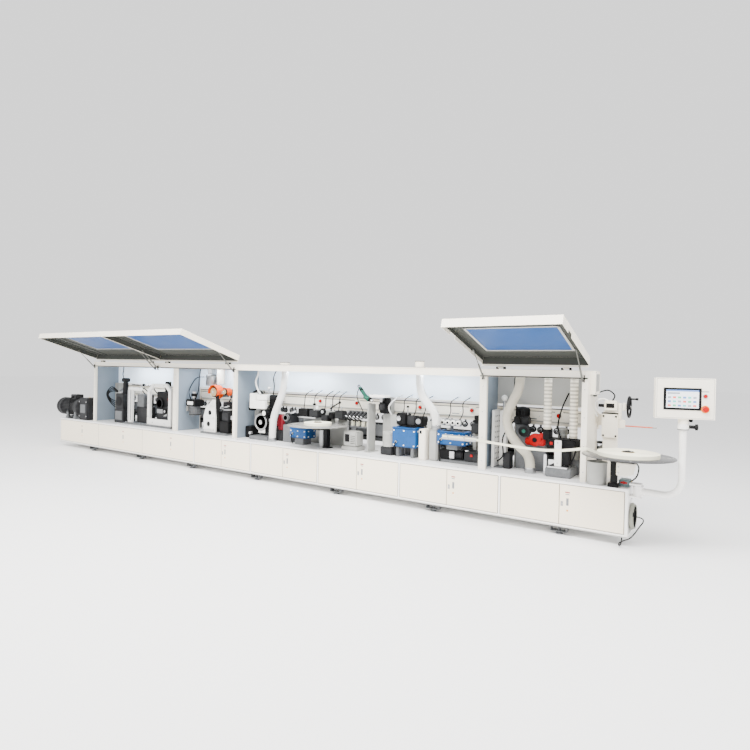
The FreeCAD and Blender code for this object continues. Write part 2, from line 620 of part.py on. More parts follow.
# ---- working units --------------------------------------------------------------------
def make_corner_unit():
    """Left hood, first bay: two white cutting frames with their dark heads."""
    y0 = 240.0
    y1 = 290.0
    outer = [(-7760.0, 575.0), (-7110.0, 575.0), (-7110.0, 1190.0), (-7235.0, 1296.0),
             (-7620.0, 1296.0), (-7760.0, 1180.0)]
    inner = [(-7690.0, 680.0), (-7180.0, 680.0), (-7180.0, 1165.0), (-7262.0, 1232.0),
             (-7592.0, 1232.0), (-7690.0, 1150.0)]
    bars = []
    for index in range(6):
        after = (index + 1) % 6
        bars.append(prism_xz([outer[index], outer[after], inner[after], inner[index]], y0, y1))
    frame = [
        box(-8330.0, -8215.0, y0, y1, 575.0, 1205.0),
        box(-8215.0, -7960.0, y0, y1, 1150.0, 1205.0),
        box(-8400.0, -7060.0, 200.0, 490.0, DECK_TOP, 575.0),
    ]
    heads = [
        box(-7640.0, -7230.0, 320.0, 480.0, 575.0, 1150.0),
        rod((-7500.0, 292.0, 950.0), (-7500.0, 320.0, 950.0), 90.0),
        box(-8200.0, -7860.0, 330.0, 480.0, 575.0, 1080.0),
        box(-7050.0, -6900.0, 250.0, 480.0, DECK_TOP, 1150.0),
        box(-7470.0, -7330.0, 320.0, 420.0, 1150.0, 1330.0),
        box(-7040.0, -6950.0, 260.0, 420.0, 1150.0, 1300.0),
    ]
    left_unit = [
        box(-8720.0, -8440.0, 220.0, 470.0, DECK_TOP, 800.0),
        box(-8700.0, -8460.0, 230.0, 460.0, 800.0, 1080.0),
        box(-8540.0, -8450.0, 270.0, 330.0, 1080.0, 1290.0),
        box(-8560.0, -8430.0, 250.0, 350.0, 1290.0, 1365.0),
    ]
    nodes["corner_rounding_unit"] = group(bars, frame, heads, left_unit)


def make_buffing_unit():
    """Left hood, second bay: scraper head, polishing discs under orange guards."""
    bracket = prism_xz([(-6250.0, 575.0), (-5985.0, 575.0), (-5985.0, 1088.0), (-6060.0, 1088.0),
                        (-6215.0, 950.0), (-6262.0, 820.0)], 230.0, 262.0)
    pieces = [
        bracket,
        box(-6300.0, -5700.0, 200.0, 470.0, DECK_TOP, 575.0),
        box(-6240.0, -6000.0, 262.0, 420.0, 575.0, 900.0),
        box(-5920.0, -5710.0, 260.0, 440.0, 575.0, 900.0),
        rod((-5820.0, 350.0, 900.0), (-5820.0, 350.0, 1060.0), 80.0),
        box(-6750.0, -6500.0, 260.0, 440.0, 950.0, 1062.0),
        rod((-6625.0, 350.0, 800.0), (-6625.0, 350.0, 950.0), 95.0),
        box(-6785.0, -6750.0, 300.0, 400.0, 860.0, 1060.0),
        rod((-6650.0, 350.0, 1062.0), (-6650.0, 350.0, 1190.0), 45.0),
        rod((-6380.0, 480.0, 1290.0), (-6380.0, 480.0, 1480.0), 92.0),
        box(-6430.0, -6330.0, 430.0, 530.0, 1480.0, HOOD_TOP - HOOD_SHEET),
        rod((-6080.0, 250.0, 1205.0), (-6080.0, 380.0, 1205.0), 112.0),
        rod((-5835.0, 290.0, 1215.0), (-5835.0, 380.0, 1215.0), 62.0),
        box(-6120.0, -6040.0, 380.0, 560.0, 1180.0, 1240.0),
        box(-5850.0, -5800.0, 380.0, 560.0, 1180.0, 1240.0),
    ]
    nodes["buffing_unit"] = group(pieces)


def make_end_trim_unit():
    """Middle bay, left: trimming unit with its tilting motors and white housings."""
    pieces = [
        box(-5200.0, -4830.0, 200.0, 490.0, DECK_TOP, 600.0),
        box(-5130.0, -4900.0, 360.0, 480.0, 600.0, 1000.0),
        box(-5245.0, -5160.0, 240.0, 400.0, 1000.0, 1224.0),
        box(-5160.0, -4935.0, 240.0, 300.0, 1000.0, 1120.0),
        box(-5160.0, -4780.0, 300.0, 480.0, 1000.0, 1210.0),
        rod((-5060.0, 300.0, 800.0), (-5060.0, 360.0, 800.0), 120.0),
        rod((-4945.0, 240.0, 940.0), (-4945.0, 360.0, 940.0), 55.0),
        box(-5330.0, -5250.0, 300.0, 400.0, 960.0, 1090.0),
        box(-5250.0, -5245.0, 300.0, 400.0, 1000.0, 1060.0),
        rod((-5000.0, 400.0, 1210.0), (-5000.0, 400.0, 1300.0), 22.0),
        rod((-4720.0, 400.0, 700.0), (-4720.0, 400.0, 930.0), 62.0),
        box(-4790.0, -4650.0, 330.0, 470.0, DECK_TOP, 700.0),
    ]
    pieces.append(upright_pipe(-4760.0, 235.0, DECK_TOP, 590.0, 60.0))
    nodes["end_trim_unit"] = group(pieces)


def make_profile_trim_unit():
    """Middle bay, behind the first reel: dark cutter heads on their slides."""
    pieces = [
        box(-4620.0, -4460.0, 300.0, 480.0, DECK_TOP, 960.0),
        rod((-4540.0, 260.0, 900.0), (-4540.0, 300.0, 900.0), 48.0),
        box(-4440.0, -4060.0, 535.0, 580.0, DECK_TOP, 1040.0),
        box(-4430.0, -4080.0, 400.0, 535.0, 920.0, 1035.0),
        rod((-4150.0, 430.0, 1035.0), (-4150.0, 430.0, 1110.0), 10.0),
        box(-4040.0, -3640.0, 540.0, 580.0, DECK_TOP, 1020.0),
        box(-4030.0, -3820.0, 430.0, 540.0, 920.0, 1010.0),
        box(-3800.0, -3650.0, 440.0, 540.0, 920.0, 1040.0),
        rod((-3700.0, 470.0, 1040.0), (-3700.0, 470.0, 1100.0), 12.0),
        box(-3500.0, -3290.0, 250.0, 420.0, 600.0, 795.0),
        box(-3520.0, -3270.0, 240.0, 430.0, DECK_TOP, 600.0),
    ]
    for index in range(4):
        x = -3500.0 + index * 84.0
        pieces.append(rod((x, 470.0, 850.0), (x, 470.0, 915.0), 26.0))
    pieces.append(box(-3540.0, -3210.0, 440.0, 500.0, 830.0, 850.0))
    pieces.append(box(-3500.0, -3440.0, 450.0, 490.0, DECK_TOP, 830.0))
    nodes["profile_trim_unit"] = group(pieces)


def make_glue_units():
    """Middle bay, right: stands, glue heads, rollers, tape feed and the glue container."""
    stands = [
        box(-3142.0, -3122.0, 275.0, 450.0, DECK_TOP, 1169.0),
        box(-3180.0, -3080.0, 260.0, 470.0, DECK_TOP, DECK_TOP + 8.0).cut(
            box(-3142.0, -3122.0, 275.0, 450.0, DECK_TOP, 1169.0)),
        box(-3085.0, -2865.0, 230.0, 400.0, 1262.0, 1294.0),
        box(-3040.0, -2900.0, 400.0, 470.0, 1050.0, 1255.0),
        box(-3040.0, -2930.0, 470.0, 499.0, 1080.0, 1200.0),
        box(-3000.0, -2960.0, 340.0, 400.0, 1200.0, 1262.0),
        box(-3000.0, -2960.0, 400.0, 440.0, 1255.0, 1262.0),
    ]
    heads = [
        rod((-2820.0, 320.0, 650.0), (-2820.0, 320.0, 838.0), 88.0),
        box(-2910.0, -2740.0, 240.0, 420.0, DECK_TOP, 650.0),
        box(-2890.0, -2760.0, 430.0, 490.0, DECK_TOP, 1040.0),
        box(-2740.0, -2480.0, 330.0, 480.0, 930.0, 1080.0),
        box(-2470.0, -2360.0, 330.0, 480.0, 930.0, 1050.0),
        box(-2660.0, -2600.0, 430.0, 480.0, DECK_TOP, 930.0),
        box(-2440.0, -2400.0, 430.0, 480.0, DECK_TOP, 930.0),
        rod((-2600.0, 380.0, 1080.0), (-2600.0, 380.0, 1160.0), 8.0),
        box(-2340.0, -2252.0, 200.0, 480.0, DECK_TOP, 915.0),
        box(-2300.0, -2230.0, 330.0, 470.0, 915.0, 1000.0),
    ]
    feed = [
        box(-2095.0, -1580.0, 250.0, 470.0, DECK_TOP, 700.0),
        box(-2080.0, -2040.0, 420.0, 470.0, 700.0, 930.0),
        box(-1740.0, -1700.0, 420.0, 470.0, 700.0, 1000.0),
        box(-1730.0, -1590.0, 330.0, 420.0, 900.0, 1020.0),
        box(-1980.0, -1560.0, 100.0, 130.0, 846.0, 890.0),
        box(-1980.0, -1560.0, 80.0, 100.0, 838.0, 846.0),
        box(-1980.0, -1560.0, 80.0, 84.0, 846.0, 862.0),
        box(-1640.0, -1600.0, 130.0, 330.0, 850.0, 880.0),
        box(-1640.0, -1600.0, 330.0, 420.0, 700.0, 880.0),
    ]
    outlet = [
        box(-2225.0, -2115.0, 240.0, 360.0, DECK_TOP, 915.0),
        upright_pipe(-2160.0, 300.0, 915.0, 955.0, 58.0),
    ]
    nodes["glue_units"] = group(stands, heads, feed, outlet)

    tanks = [
        box(-4400.0, -4100.0, 200.0, 420.0, 640.0, 780.0),
        box(-4330.0, -4170.0, 230.0, 400.0, DECK_TOP, 640.0),
        box(-2720.0, -2385.0, 210.0, 420.0, 673.0, 915.0),
        box(-2680.0, -2640.0, 240.0, 400.0, DECK_TOP, 673.0),
        box(-2470.0, -2430.0, 240.0, 400.0, DECK_TOP, 673.0),
        box(-2110.0, -1750.0, 215.0, 415.0, 757.0, 913.0),
        box(-2000.0, -1860.0, 250.0, 400.0, 700.0, 757.0),
    ]
    nodes["glue_tanks"] = group(tanks)


def make_hot_air_gun():
    y = 330.0
    grip = rod((-3300.0, y, 1372.0), (-3205.0, y, 1262.0), 24.0)
    body = rod((-3225.0, y, 1262.0), (-3095.0, y, 1205.0), 32.0)
    loop = ring((-3318.0, y - 6.0, 1392.0), (-3318.0, y + 6.0, 1392.0), 22.0, 12.0)
    shape = grip.fuse([body, loop]).removeSplitter()
    hook = box(-3140.0, -3126.0, y - 40.0, y + 40.0, 1169.0, 1176.0)
    nodes["hot_air_gun"] = group(shape, hook)


def make_premill_unit():
    """Right hood: pre-milling motors, cooling head, red cutter guard, support plates."""
    pieces = [
        box(-1466.0, -1436.0, 300.0, 490.0, DECK_TOP, 1191.0),
        box(-1436.0, -1340.0, 300.0, 470.0, DECK_TOP, 560.0),
        box(-1420.0, -1340.0, 420.0, 490.0, 560.0, 1180.0),
        rod((-1380.0, 455.0, 1180.0), (-1380.0, 455.0, 1290.0), 22.0),
        Part.makeSphere(34.0, Vector(-1380.0, 455.0, 1324.0)),
        rod((-1165.0, 455.0, 1130.0), (-1165.0, 455.0, 1215.0), 80.0),
        box(-1250.0, -1080.0, 400.0, 500.0, 1040.0, 1130.0),
        box(-1230.0, -1100.0, 420.0, 500.0, DECK_TOP, 1040.0),
        rod((-1100.0, 398.0, 980.0), (-1100.0, 300.0, 980.0), 62.0),
        box(-1250.0, -1240.0, 440.0, 490.0, DECK_TOP, 1040.0),
        box(-1100.0, -880.0, 340.0, 392.0, 830.0, 910.0),
        prism_xz([(-1060.0, 910.0), (-880.0, 910.0), (-880.0, 968.0), (-930.0, 968.0)],
                 340.0, 392.0),
        box(-1100.0, -880.0, 392.0, 500.0, DECK_TOP, 905.0),
    ]
    pieces += [
        box(-820.0, -560.0, 150.0, 420.0, DECK_TOP, 640.0),
        box(-800.0, -600.0, 160.0, 400.0, 640.0, 655.0),
        box(-738.0, -670.0, 190.0, 215.0, 655.0, 925.0),
        box(-820.0, -540.0, 240.0, 420.0, 836.0, 930.0),
        box(-760.0, -620.0, 300.0, 420.0, 655.0, 836.0),
        rod((-735.0, 490.0, 700.0), (-735.0, 490.0, 1030.0), 50.0),
        rod((-610.0, 490.0, 700.0), (-610.0, 490.0, 900.0), 50.0),
        box(-800.0, -545.0, 425.0, 560.0, DECK_TOP, 700.0),
    ]
    pieces.append(upright_pipe(-1000.0, 240.0, DECK_TOP, 590.0, 60.0))
    nodes["premill_unit"] = group(pieces)


def upright_pipe(x, y, z0, z1, radius):
    """A plain vertical suction pipe or cuff."""
    return rod((x, y, z0), (x, y, z1), radius)


# Hand-chosen hose and cable routes; a run of the hoses is about 90 to 220 mm.
LEFT_HOSE = [(-4600.0, 300.0, 1590.0), (-4600.0, 300.0, 1440.0), (-4622.0, 290.0, 1270.0),
             (-4690.0, 275.0, 1090.0), (-4745.0, 250.0, 930.0), (-4760.0, 235.0, 760.0),
             (-4760.0, 235.0, 590.0)]
MIDDLE_HOSE = [(-2430.0, 350.0, 1590.0), (-2430.0, 350.0, 1470.0), (-2385.0, 325.0, 1330.0),
               (-2280.0, 300.0, 1210.0), (-2160.0, 300.0, 1095.0), (-2160.0, 300.0, 955.0)]
RIGHT_HOSE = [(-1150.0, 300.0, 1590.0), (-1150.0, 300.0, 1450.0), (-1225.0, 270.0, 1290.0),
              (-1285.0, 250.0, 1130.0), (-1240.0, 240.0, 960.0), (-1130.0, 235.0, 820.0),
              (-1000.0, 240.0, 720.0), (-1000.0, 240.0, 590.0)]
SUPPLY_CABLE = [(0.0, 150.0, 270.0), (70.0, 150.0, 270.0), (122.0, 108.0, 266.0),
                (128.0, 38.0, 250.0), (104.0, -34.0, 220.0), (76.0, -72.0, 168.0),
                (34.0, -88.0, 112.0), (-24.0, -90.0, 86.0), (-62.0, -72.0, 50.0),
                (-66.0, -12.0, 10.0), (-64.0, 52.0, 8.0), (-64.0, 112.0, 20.0),
                (-64.0, 135.0, 90.0)]


def make_hoses():
    nodes["suction_hose_left"] = tube_route(LEFT_HOSE, HOSE_R, "suction_hose_left")
    nodes["suction_hose_middle"] = tube_route(MIDDLE_HOSE, HOSE_R, "suction_hose_middle")
    nodes["suction_hose_right"] = tube_route(RIGHT_HOSE, HOSE_R, "suction_hose_right")
    nodes["supply_cable"] = tube_route(SUPPLY_CABLE, CABLE_R, "supply_cable")
    nodes["air_hose_coil"] = ring((3.0, 150.0, 270.0), (49.0, 150.0, 270.0), 125.0, 84.0)


# ---- tape reels ------------------------------------------------------------------------
def make_reel(name, centre, disc_r, roll_r):
    x, y, z = centre
    disc = rod((x, y, z - REEL_THICK), (x, y, z), disc_r)
    disc = disc.cut(rod((x, y, z - 20.0), (x, y, z + 20.0), 14.05))
    roll = ring((x, y, z), (x, y, z + TAPE_WIDTH), roll_r, ROLL_CORE_R)
    nodes[name + "_tape_reel"] = group(disc, roll)


def make_reels():
    make_reel("mid", MID_REEL, MID_REEL_R, MID_ROLL_R)
    make_reel("infeed", INFEED_REEL, INFEED_REEL_R, INFEED_ROLL_R)
    x, y, z = MID_REEL
    seat = z - REEL_THICK - 0.5
    stands = [
        rod((x, y, seat - 30.0), (x, y, z + 30.0), 14.0).fuse(
            [rod((x, y, seat - 30.0), (x, y, seat), 60.0),
             box(x - 60.0, x + 60.0, y - 40.0, y + 200.0, seat - 60.0, seat - 30.0),
             box(x - 60.0, x + 5.0, y + 110.0, y + 190.0, DECK_TOP, seat - 60.0)]).removeSplitter(),
        box(x + 8.0, x + 80.0, y + 112.0, y + 180.0, DECK_TOP + 12.0, seat - 60.0),
        box(x + 6.0, x + 110.0, y + 96.0, y + 196.0, DECK_TOP, DECK_TOP + 12.0),
    ]
    x, y, z = INFEED_REEL
    seat = z - REEL_THICK - 0.5
    stands += [
        rod((x, y, seat - 30.0), (x, y, z + 30.0), 14.0).fuse(
            [rod((x, y, seat - 30.0), (x, y, seat), 70.0),
             box(-160.0, 60.0, -80.0, 110.0, seat - 60.0, seat - 30.0)]).removeSplitter(),
        box(-165.0, -105.0, 20.0, 80.0, DECK_TOP + 40.0, seat - 60.0),
        prism_yz([(2.0, DECK_TOP), (100.0, DECK_TOP), (84.0, DECK_TOP + 40.0),
                  (16.0, DECK_TOP + 40.0)], -185.0, -90.0),
        prism_xz([(-100.0, seat - 60.0), (50.0, seat - 60.0), (10.0, seat - 140.0),
                  (-100.0, seat - 140.0)], 30.0, 42.0),
        box(-102.0, -6.0, 110.0, 240.0, DECK_TOP, 612.0),
    ]
    tub = rod((-300.0, 100.0, DECK_TOP), (-300.0, 100.0, 764.0), 92.0)
    stands.append(tub.cut(rod((-300.0, 100.0, 640.0), (-300.0, 100.0, 765.0), 88.0)))
    nodes["reel_stands"] = group(stands)


def make_tape():
    """The loose band from the infeed roll to the tape feed, standing on its edge."""
    top = INFEED_REEL[2]
    points = [(-227.5, -190.5, top + 17.0), (-318.0, -53.0, top + 17.0), (-409.0, 85.0, top + 16.0),
              (-500.0, 91.0, top - 5.0), (-640.0, 92.0, top - 30.0), (-800.0, 92.0, top - 43.0),
              (-960.0, 92.0, top - 44.0), (-1120.0, 92.0, top - 36.0), (-1445.0, 92.0, top - 14.0),
              (-1600.0, 92.0, top), (-1975.0, 92.0, top + 4.0)]
    half = TAPE_THICK / 2.0
    height = (TAPE_WIDTH - 8.0) / 2.0
    sections = []
    for index, (x, y, z) in enumerate(points):
        before = points[max(index - 1, 0)]
        after = points[min(index + 1, len(points) - 1)]
        run = Vector(after[0] - before[0], after[1] - before[1], 0)
        run.normalize()
        side = Vector(-run.y, run.x, 0) * half
        up = Vector(0, 0, height)
        centre = Vector(x, y, z)
        corners = [centre + side + up, centre - side + up, centre - side - up, centre + side - up]
        sections.append(Part.makePolygon(corners + corners[:1]))
    nodes["edge_tape"] = Part.makeLoft(sections, True, True)


# ---- infeed end, height wheel, control panel --------------------------------------------
def make_infeed():
    pieces = [
        box(-340.0, -184.0, 478.0, 500.0, 960.0, 1215.0),
        box(-330.0, -196.0, 500.0, 590.0, DECK_TOP, 1180.0),
        box(-320.0, -200.0, 478.0, 590.0, 1240.0, 1345.0),
        box(-330.0, -196.0, 500.0, 590.0, 1180.0, 1240.0),
        box(-196.0, -165.0, 560.0, 590.0, 1150.0, 1320.0),
        rod((-385.0, 530.0, 1290.0), (-320.0, 530.0, 1290.0), 17.0),
        rod((-128.0, 575.0, 1088.0), (165.0, 575.0, 1088.0), 7.0),
        box(-196.0, -128.0, 560.0, 590.0, 1060.0, 1150.0),
    ]
    x, y, z = WHEEL_CENTRE
    rim = Part.makeTorus(HANDWHEEL_R - 11.0, 11.0, Vector(x, y, z), Vector(1, 0, 0))
    hub = ring((x - 18.0, y, z), (x + 14.0, y, z), 26.0, 10.05)
    spokes = []
    for index in range(3):
        angle = math.radians(90.0 + 120.0 * index)
        outer = (x, y + math.cos(angle) * (HANDWHEEL_R - 11.0), z + math.sin(angle) * (HANDWHEEL_R - 11.0))
        inner = (x, y + math.cos(angle) * 18.0, z + math.sin(angle) * 18.0)
        spokes.append(rod(inner, outer, 6.0))
    grip = rod((x, y + 50.0, z + 82.0), (x + 55.0, y + 50.0, z + 82.0), 9.0)
    wheel = rim.fuse([hub, grip] + spokes).removeSplitter()
    nodes["height_handwheel"] = wheel.cut(rod((x - 30.0, y, z), (x + 30.0, y, z), 10.05))
    spindle = rod((x - 30.0, y, z), (x + 16.0, y, z), 10.0)
    post = box(x - 62.0, x - 30.0, y - 20.0, y + 20.0, z - 40.0, z + 40.0)
    pieces.append(spindle.fuse(post).removeSplitter())
    nodes["infeed_head"] = group(pieces)


def make_panel():
    px, py = ARM_PIVOT
    bx, by = ARM_POST
    pivot = Vector(px, py, ARM_Z)
    corner = Vector(bx, by, ARM_Z)
    top = Vector(bx, by, ARM_TOP)
    along = corner - pivot
    along.normalize()
    bend_start = corner - along * ARM_BEND
    bend_end = corner + Vector(0, 0, ARM_BEND)
    centre = bend_start + Vector(0, 0, ARM_BEND)
    diagonal = corner - centre
    diagonal.normalize()
    path = Part.Wire([
        Part.LineSegment(pivot, bend_start).toShape(),
        Part.Arc(bend_start, centre + diagonal * ARM_BEND, bend_end).toShape(),
        Part.LineSegment(bend_end, top).toShape()])
    pipe = path.makePipeShell([Part.Wire(Part.makeCircle(ARM_R, pivot, along))], True, False)
    barrel = rod((px, py, ARM_Z - 50.0), (px, py, ARM_Z + 50.0), 46.0)
    collar = rod((bx, by, ARM_TOP - 50.0), (bx, by, ARM_TOP), 44.0)
    knob = rod((bx + 40.0, by, ARM_TOP - 25.0), (bx + 92.0, by, ARM_TOP - 25.0), 15.0)
    arm = barrel.fuse([pipe, collar, knob]).removeSplitter()
    arm = arm.cut(rod((px, py, ARM_Z - 60.0), (px, py, ARM_Z + 60.0), 20.05))
    arm = arm.cut(rod((bx, by, ARM_TOP - 60.0), (bx, by, ARM_TOP + 10.0), 15.05))
    nodes["panel_arm"] = arm
    pin = rod((px, py, ARM_Z - 66.0), (px, py, ARM_Z + 66.0), 20.0)
    ears = [box(0.0, px + 30.0, py - 50.0, py + 50.0, ARM_Z - 66.0, ARM_Z - 51.0),
            box(0.0, px + 30.0, py - 50.0, py + 50.0, ARM_Z + 51.0, ARM_Z + 66.0)]
    nodes["base_frame"] = group(nodes["base_frame"].Solids, pin.fuse(ears).removeSplitter())

    # The box is drawn facing -Y about its post and then turned on it.
    half = PANEL_WIDTH / 2.0
    z0 = PANEL_Z
    z1 = z0 + PANEL_HEIGHT
    front = by - PANEL_DEPTH / 2.0
    shell = box(bx - half, bx + half, front, front + PANEL_DEPTH, z0, z1)
    screen_w, screen_h, screen_t = SCREEN_SIZE
    sx0 = bx - half + 62.0
    sz0 = z0 + (PANEL_HEIGHT - screen_h) / 2.0 - 4.0
    screen = box(sx0, sx0 + screen_w, front - screen_t, front, sz0, sz0 + screen_h)
    socket_x = bx + half - 78.0
    button_z = z0 + 206.0
    estop_z = z0 + 92.0
    shell = shell.cut(rod((socket_x, front - 1.0, button_z), (socket_x, front + 30.0, button_z), 9.4))
    shell = shell.cut(rod((socket_x, front - 1.0, estop_z), (socket_x, front + 30.0, estop_z), 9.4))
    spigot = rod((bx, by, ARM_TOP - 48.0), (bx, by, z0), 15.0)
    flange = rod((bx, by, ARM_TOP + 1.0), (bx, by, z0), 42.0)
    bezel = ring((socket_x, front - 5.0, estop_z), (socket_x, front, estop_z), 30.0, 9.4)
    body = shell.fuse([flange, spigot]).removeSplitter()
    button = rod((socket_x, front - 12.0, button_z), (socket_x, front + 20.0, button_z), 9.0)
    button = button.fuse(rod((socket_x, front - 12.0, button_z), (socket_x, front - 5.0, button_z), 14.0))
    estop = rod((socket_x, front - 12.0, estop_z), (socket_x, front + 20.0, estop_z), 9.0)
    estop = estop.fuse(rod((socket_x, front - 32.0, estop_z), (socket_x, front - 12.0, estop_z), 21.0))
    turned = {"panel_box": group(body, bezel), "touch_screen": screen,
              "panel_button": button.removeSplitter(), "panel_estop": estop.removeSplitter()}
    for name, shape in turned.items():
        shape.rotate(Vector(bx, by, 0), Vector(0, 0, 1), PANEL_TURN)
        nodes[name] = shape


# ---- build -----------------------------------------------------------------------------
def row_offset():
    """Moves the drawing frame so that the footprint's centre is at the origin."""
    cords = ("suction_hose_left", "suction_hose_middle", "suction_hose_right",
             "supply_cable")
    bounds = FreeCAD.BoundBox()
    for name, shape in nodes.items():
        if name not in cords:
            bounds.add(shape.optimalBoundingBox(False, False))
    return Vector(-bounds.Center.x, -bounds.Center.y, -bounds.ZMin)


make_base()
make_doors()
make_feet()
make_hoods()
for lid_number, (lid_x0, lid_x1) in enumerate(LID_SPANS):
    make_lid(lid_number + 1, lid_x0, lid_x1)
    make_struts(lid_number + 1, lid_x0, lid_x1)
make_hood_fittings()
make_beam()
make_estops()
make_drive_motor(make_conveyor())
make_corner_unit()
make_buffing_unit()
make_end_trim_unit()
make_profile_trim_unit()
make_glue_units()
make_hot_air_gun()
make_premill_unit()
make_hoses()
make_reels()
make_tape()
make_infeed()
make_panel()

OFFSET = row_offset()
print("offset", OFFSET, "nodes", len(nodes))
os.makedirs("parts", exist_ok=True)
for name, shape in nodes.items():
    shape.translate(OFFSET)
    shape.exportStep("parts/%s.step" % name)
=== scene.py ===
import itertools
import math

import bmesh
import bpy
from mathutils import Matrix, Vector


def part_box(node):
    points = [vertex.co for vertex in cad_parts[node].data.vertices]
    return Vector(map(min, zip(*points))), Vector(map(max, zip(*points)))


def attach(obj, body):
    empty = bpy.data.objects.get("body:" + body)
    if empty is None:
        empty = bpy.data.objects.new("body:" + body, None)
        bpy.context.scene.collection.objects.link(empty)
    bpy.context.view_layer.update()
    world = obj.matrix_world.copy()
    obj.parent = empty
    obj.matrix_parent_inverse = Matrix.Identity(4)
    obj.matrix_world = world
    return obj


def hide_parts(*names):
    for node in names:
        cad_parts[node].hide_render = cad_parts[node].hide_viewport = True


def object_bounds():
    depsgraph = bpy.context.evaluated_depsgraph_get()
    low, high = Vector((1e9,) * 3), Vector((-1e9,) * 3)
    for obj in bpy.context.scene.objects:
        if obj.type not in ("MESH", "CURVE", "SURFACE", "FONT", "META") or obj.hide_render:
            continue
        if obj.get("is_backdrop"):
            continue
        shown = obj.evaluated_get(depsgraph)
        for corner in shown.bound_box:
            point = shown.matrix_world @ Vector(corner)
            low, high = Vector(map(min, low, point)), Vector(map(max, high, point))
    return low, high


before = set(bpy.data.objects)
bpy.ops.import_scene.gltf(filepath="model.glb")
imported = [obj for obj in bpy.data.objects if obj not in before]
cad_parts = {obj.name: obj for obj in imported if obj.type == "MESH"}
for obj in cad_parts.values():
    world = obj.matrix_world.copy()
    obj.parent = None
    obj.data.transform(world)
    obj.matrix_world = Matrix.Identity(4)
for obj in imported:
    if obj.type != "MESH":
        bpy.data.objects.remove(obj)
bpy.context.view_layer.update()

# Edge banding machine. Lengths below are millimetres in the machine's drawing frame:
# X = 0 at the right end of the base, Y = 0 on the door faces, Z = 0 on the floor.
deck_low, deck_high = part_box("table_plate")
SHIFT = Vector((deck_high[0], deck_low[1], 0.0))


DECK_TOP = 547          # the deck that the units stand on
WALL = 577              # just before the hoods' back panels, where the wires end
SPLIT_Z = 117.0         # lower joint of the front covers
DOOR_EDGE = -33.0       # right edge of the first door
DOOR_PITCH = 1235.0
DOOR_WIDTH = 592.0
COVER_WIDTH = 608.0     # fixed cover beside each door
PLAIN_FRONT = (-10162.0, -6208.0)       # the three plain covers at the left
BEAM_FACE = 598.3       # front face of the pressure beam
WHEEL_Z = 972           # axis of the pressure wheels
WHEEL_PITCH = 92.0
ESTOPS = (-4170, -3528, -2539, -1832, -804)
ESTOP_Z = 1147
SPROCKETS = (-9470.0, -330.0)
CHAIN_Z = 800.0         # axis of the chain's sprockets
CHAIN_R = 88.0
CHAIN_PADS = 112
HOSE_R = 52.0           # outside of the hoses' ribs
TAPE_TURN = 3.2         # step of the relief on a roll's face


def W(x, y, z):
    """Drawing-frame millimetres to scene metres."""
    return Vector((x, y, z)) / 1000.0 + SHIFT


# ---- camera -----------------------------------------------------------------------
cam_data = bpy.data.cameras.new("camera")
cam_data.lens = 26.33
cam_data.sensor_width = 36.0
cam_data.clip_end = 100.0
cam = bpy.data.objects.new("camera", cam_data)
bpy.context.scene.collection.objects.link(cam)
cam.matrix_world = (Matrix.Translation(W(815.0, -5573.0, 1624.0))
                    @ Matrix.Rotation(math.radians(33.35), 4, "Z")
                    @ Matrix.Rotation(math.radians(90.0 - 0.64), 4, "X")
                    @ Matrix.Rotation(math.radians(1.17), 4, "Z"))
bpy.context.scene.camera = cam


def on_circle(r, degrees):
    """Offsets of a point on a circle."""
    a = math.radians(degrees)
    return r * math.cos(a), r * math.sin(a)


# ---- materials --------------------------------------------------------------------
def shader_node(nt, kind, values, **links):
    """A shader node with its input values set and its inputs linked to outputs."""
    made = nt.nodes.new(kind)
    for key, value in values.items():
        made.inputs[key].default_value = value
    for key, output in links.items():
        nt.links.new(output, made.inputs[key])
    return made


def colour_ramp(nt, factor, stops):
    """A colour ramp driven by factor; stops are two of (position, colour)."""
    made = shader_node(nt, "ShaderNodeValToRGB", {}, Fac=factor)
    for element, (position, rgb) in zip(made.color_ramp.elements, stops):
        element.position = position
        element.color = (*rgb, 1.0)
    return made.outputs["Color"]


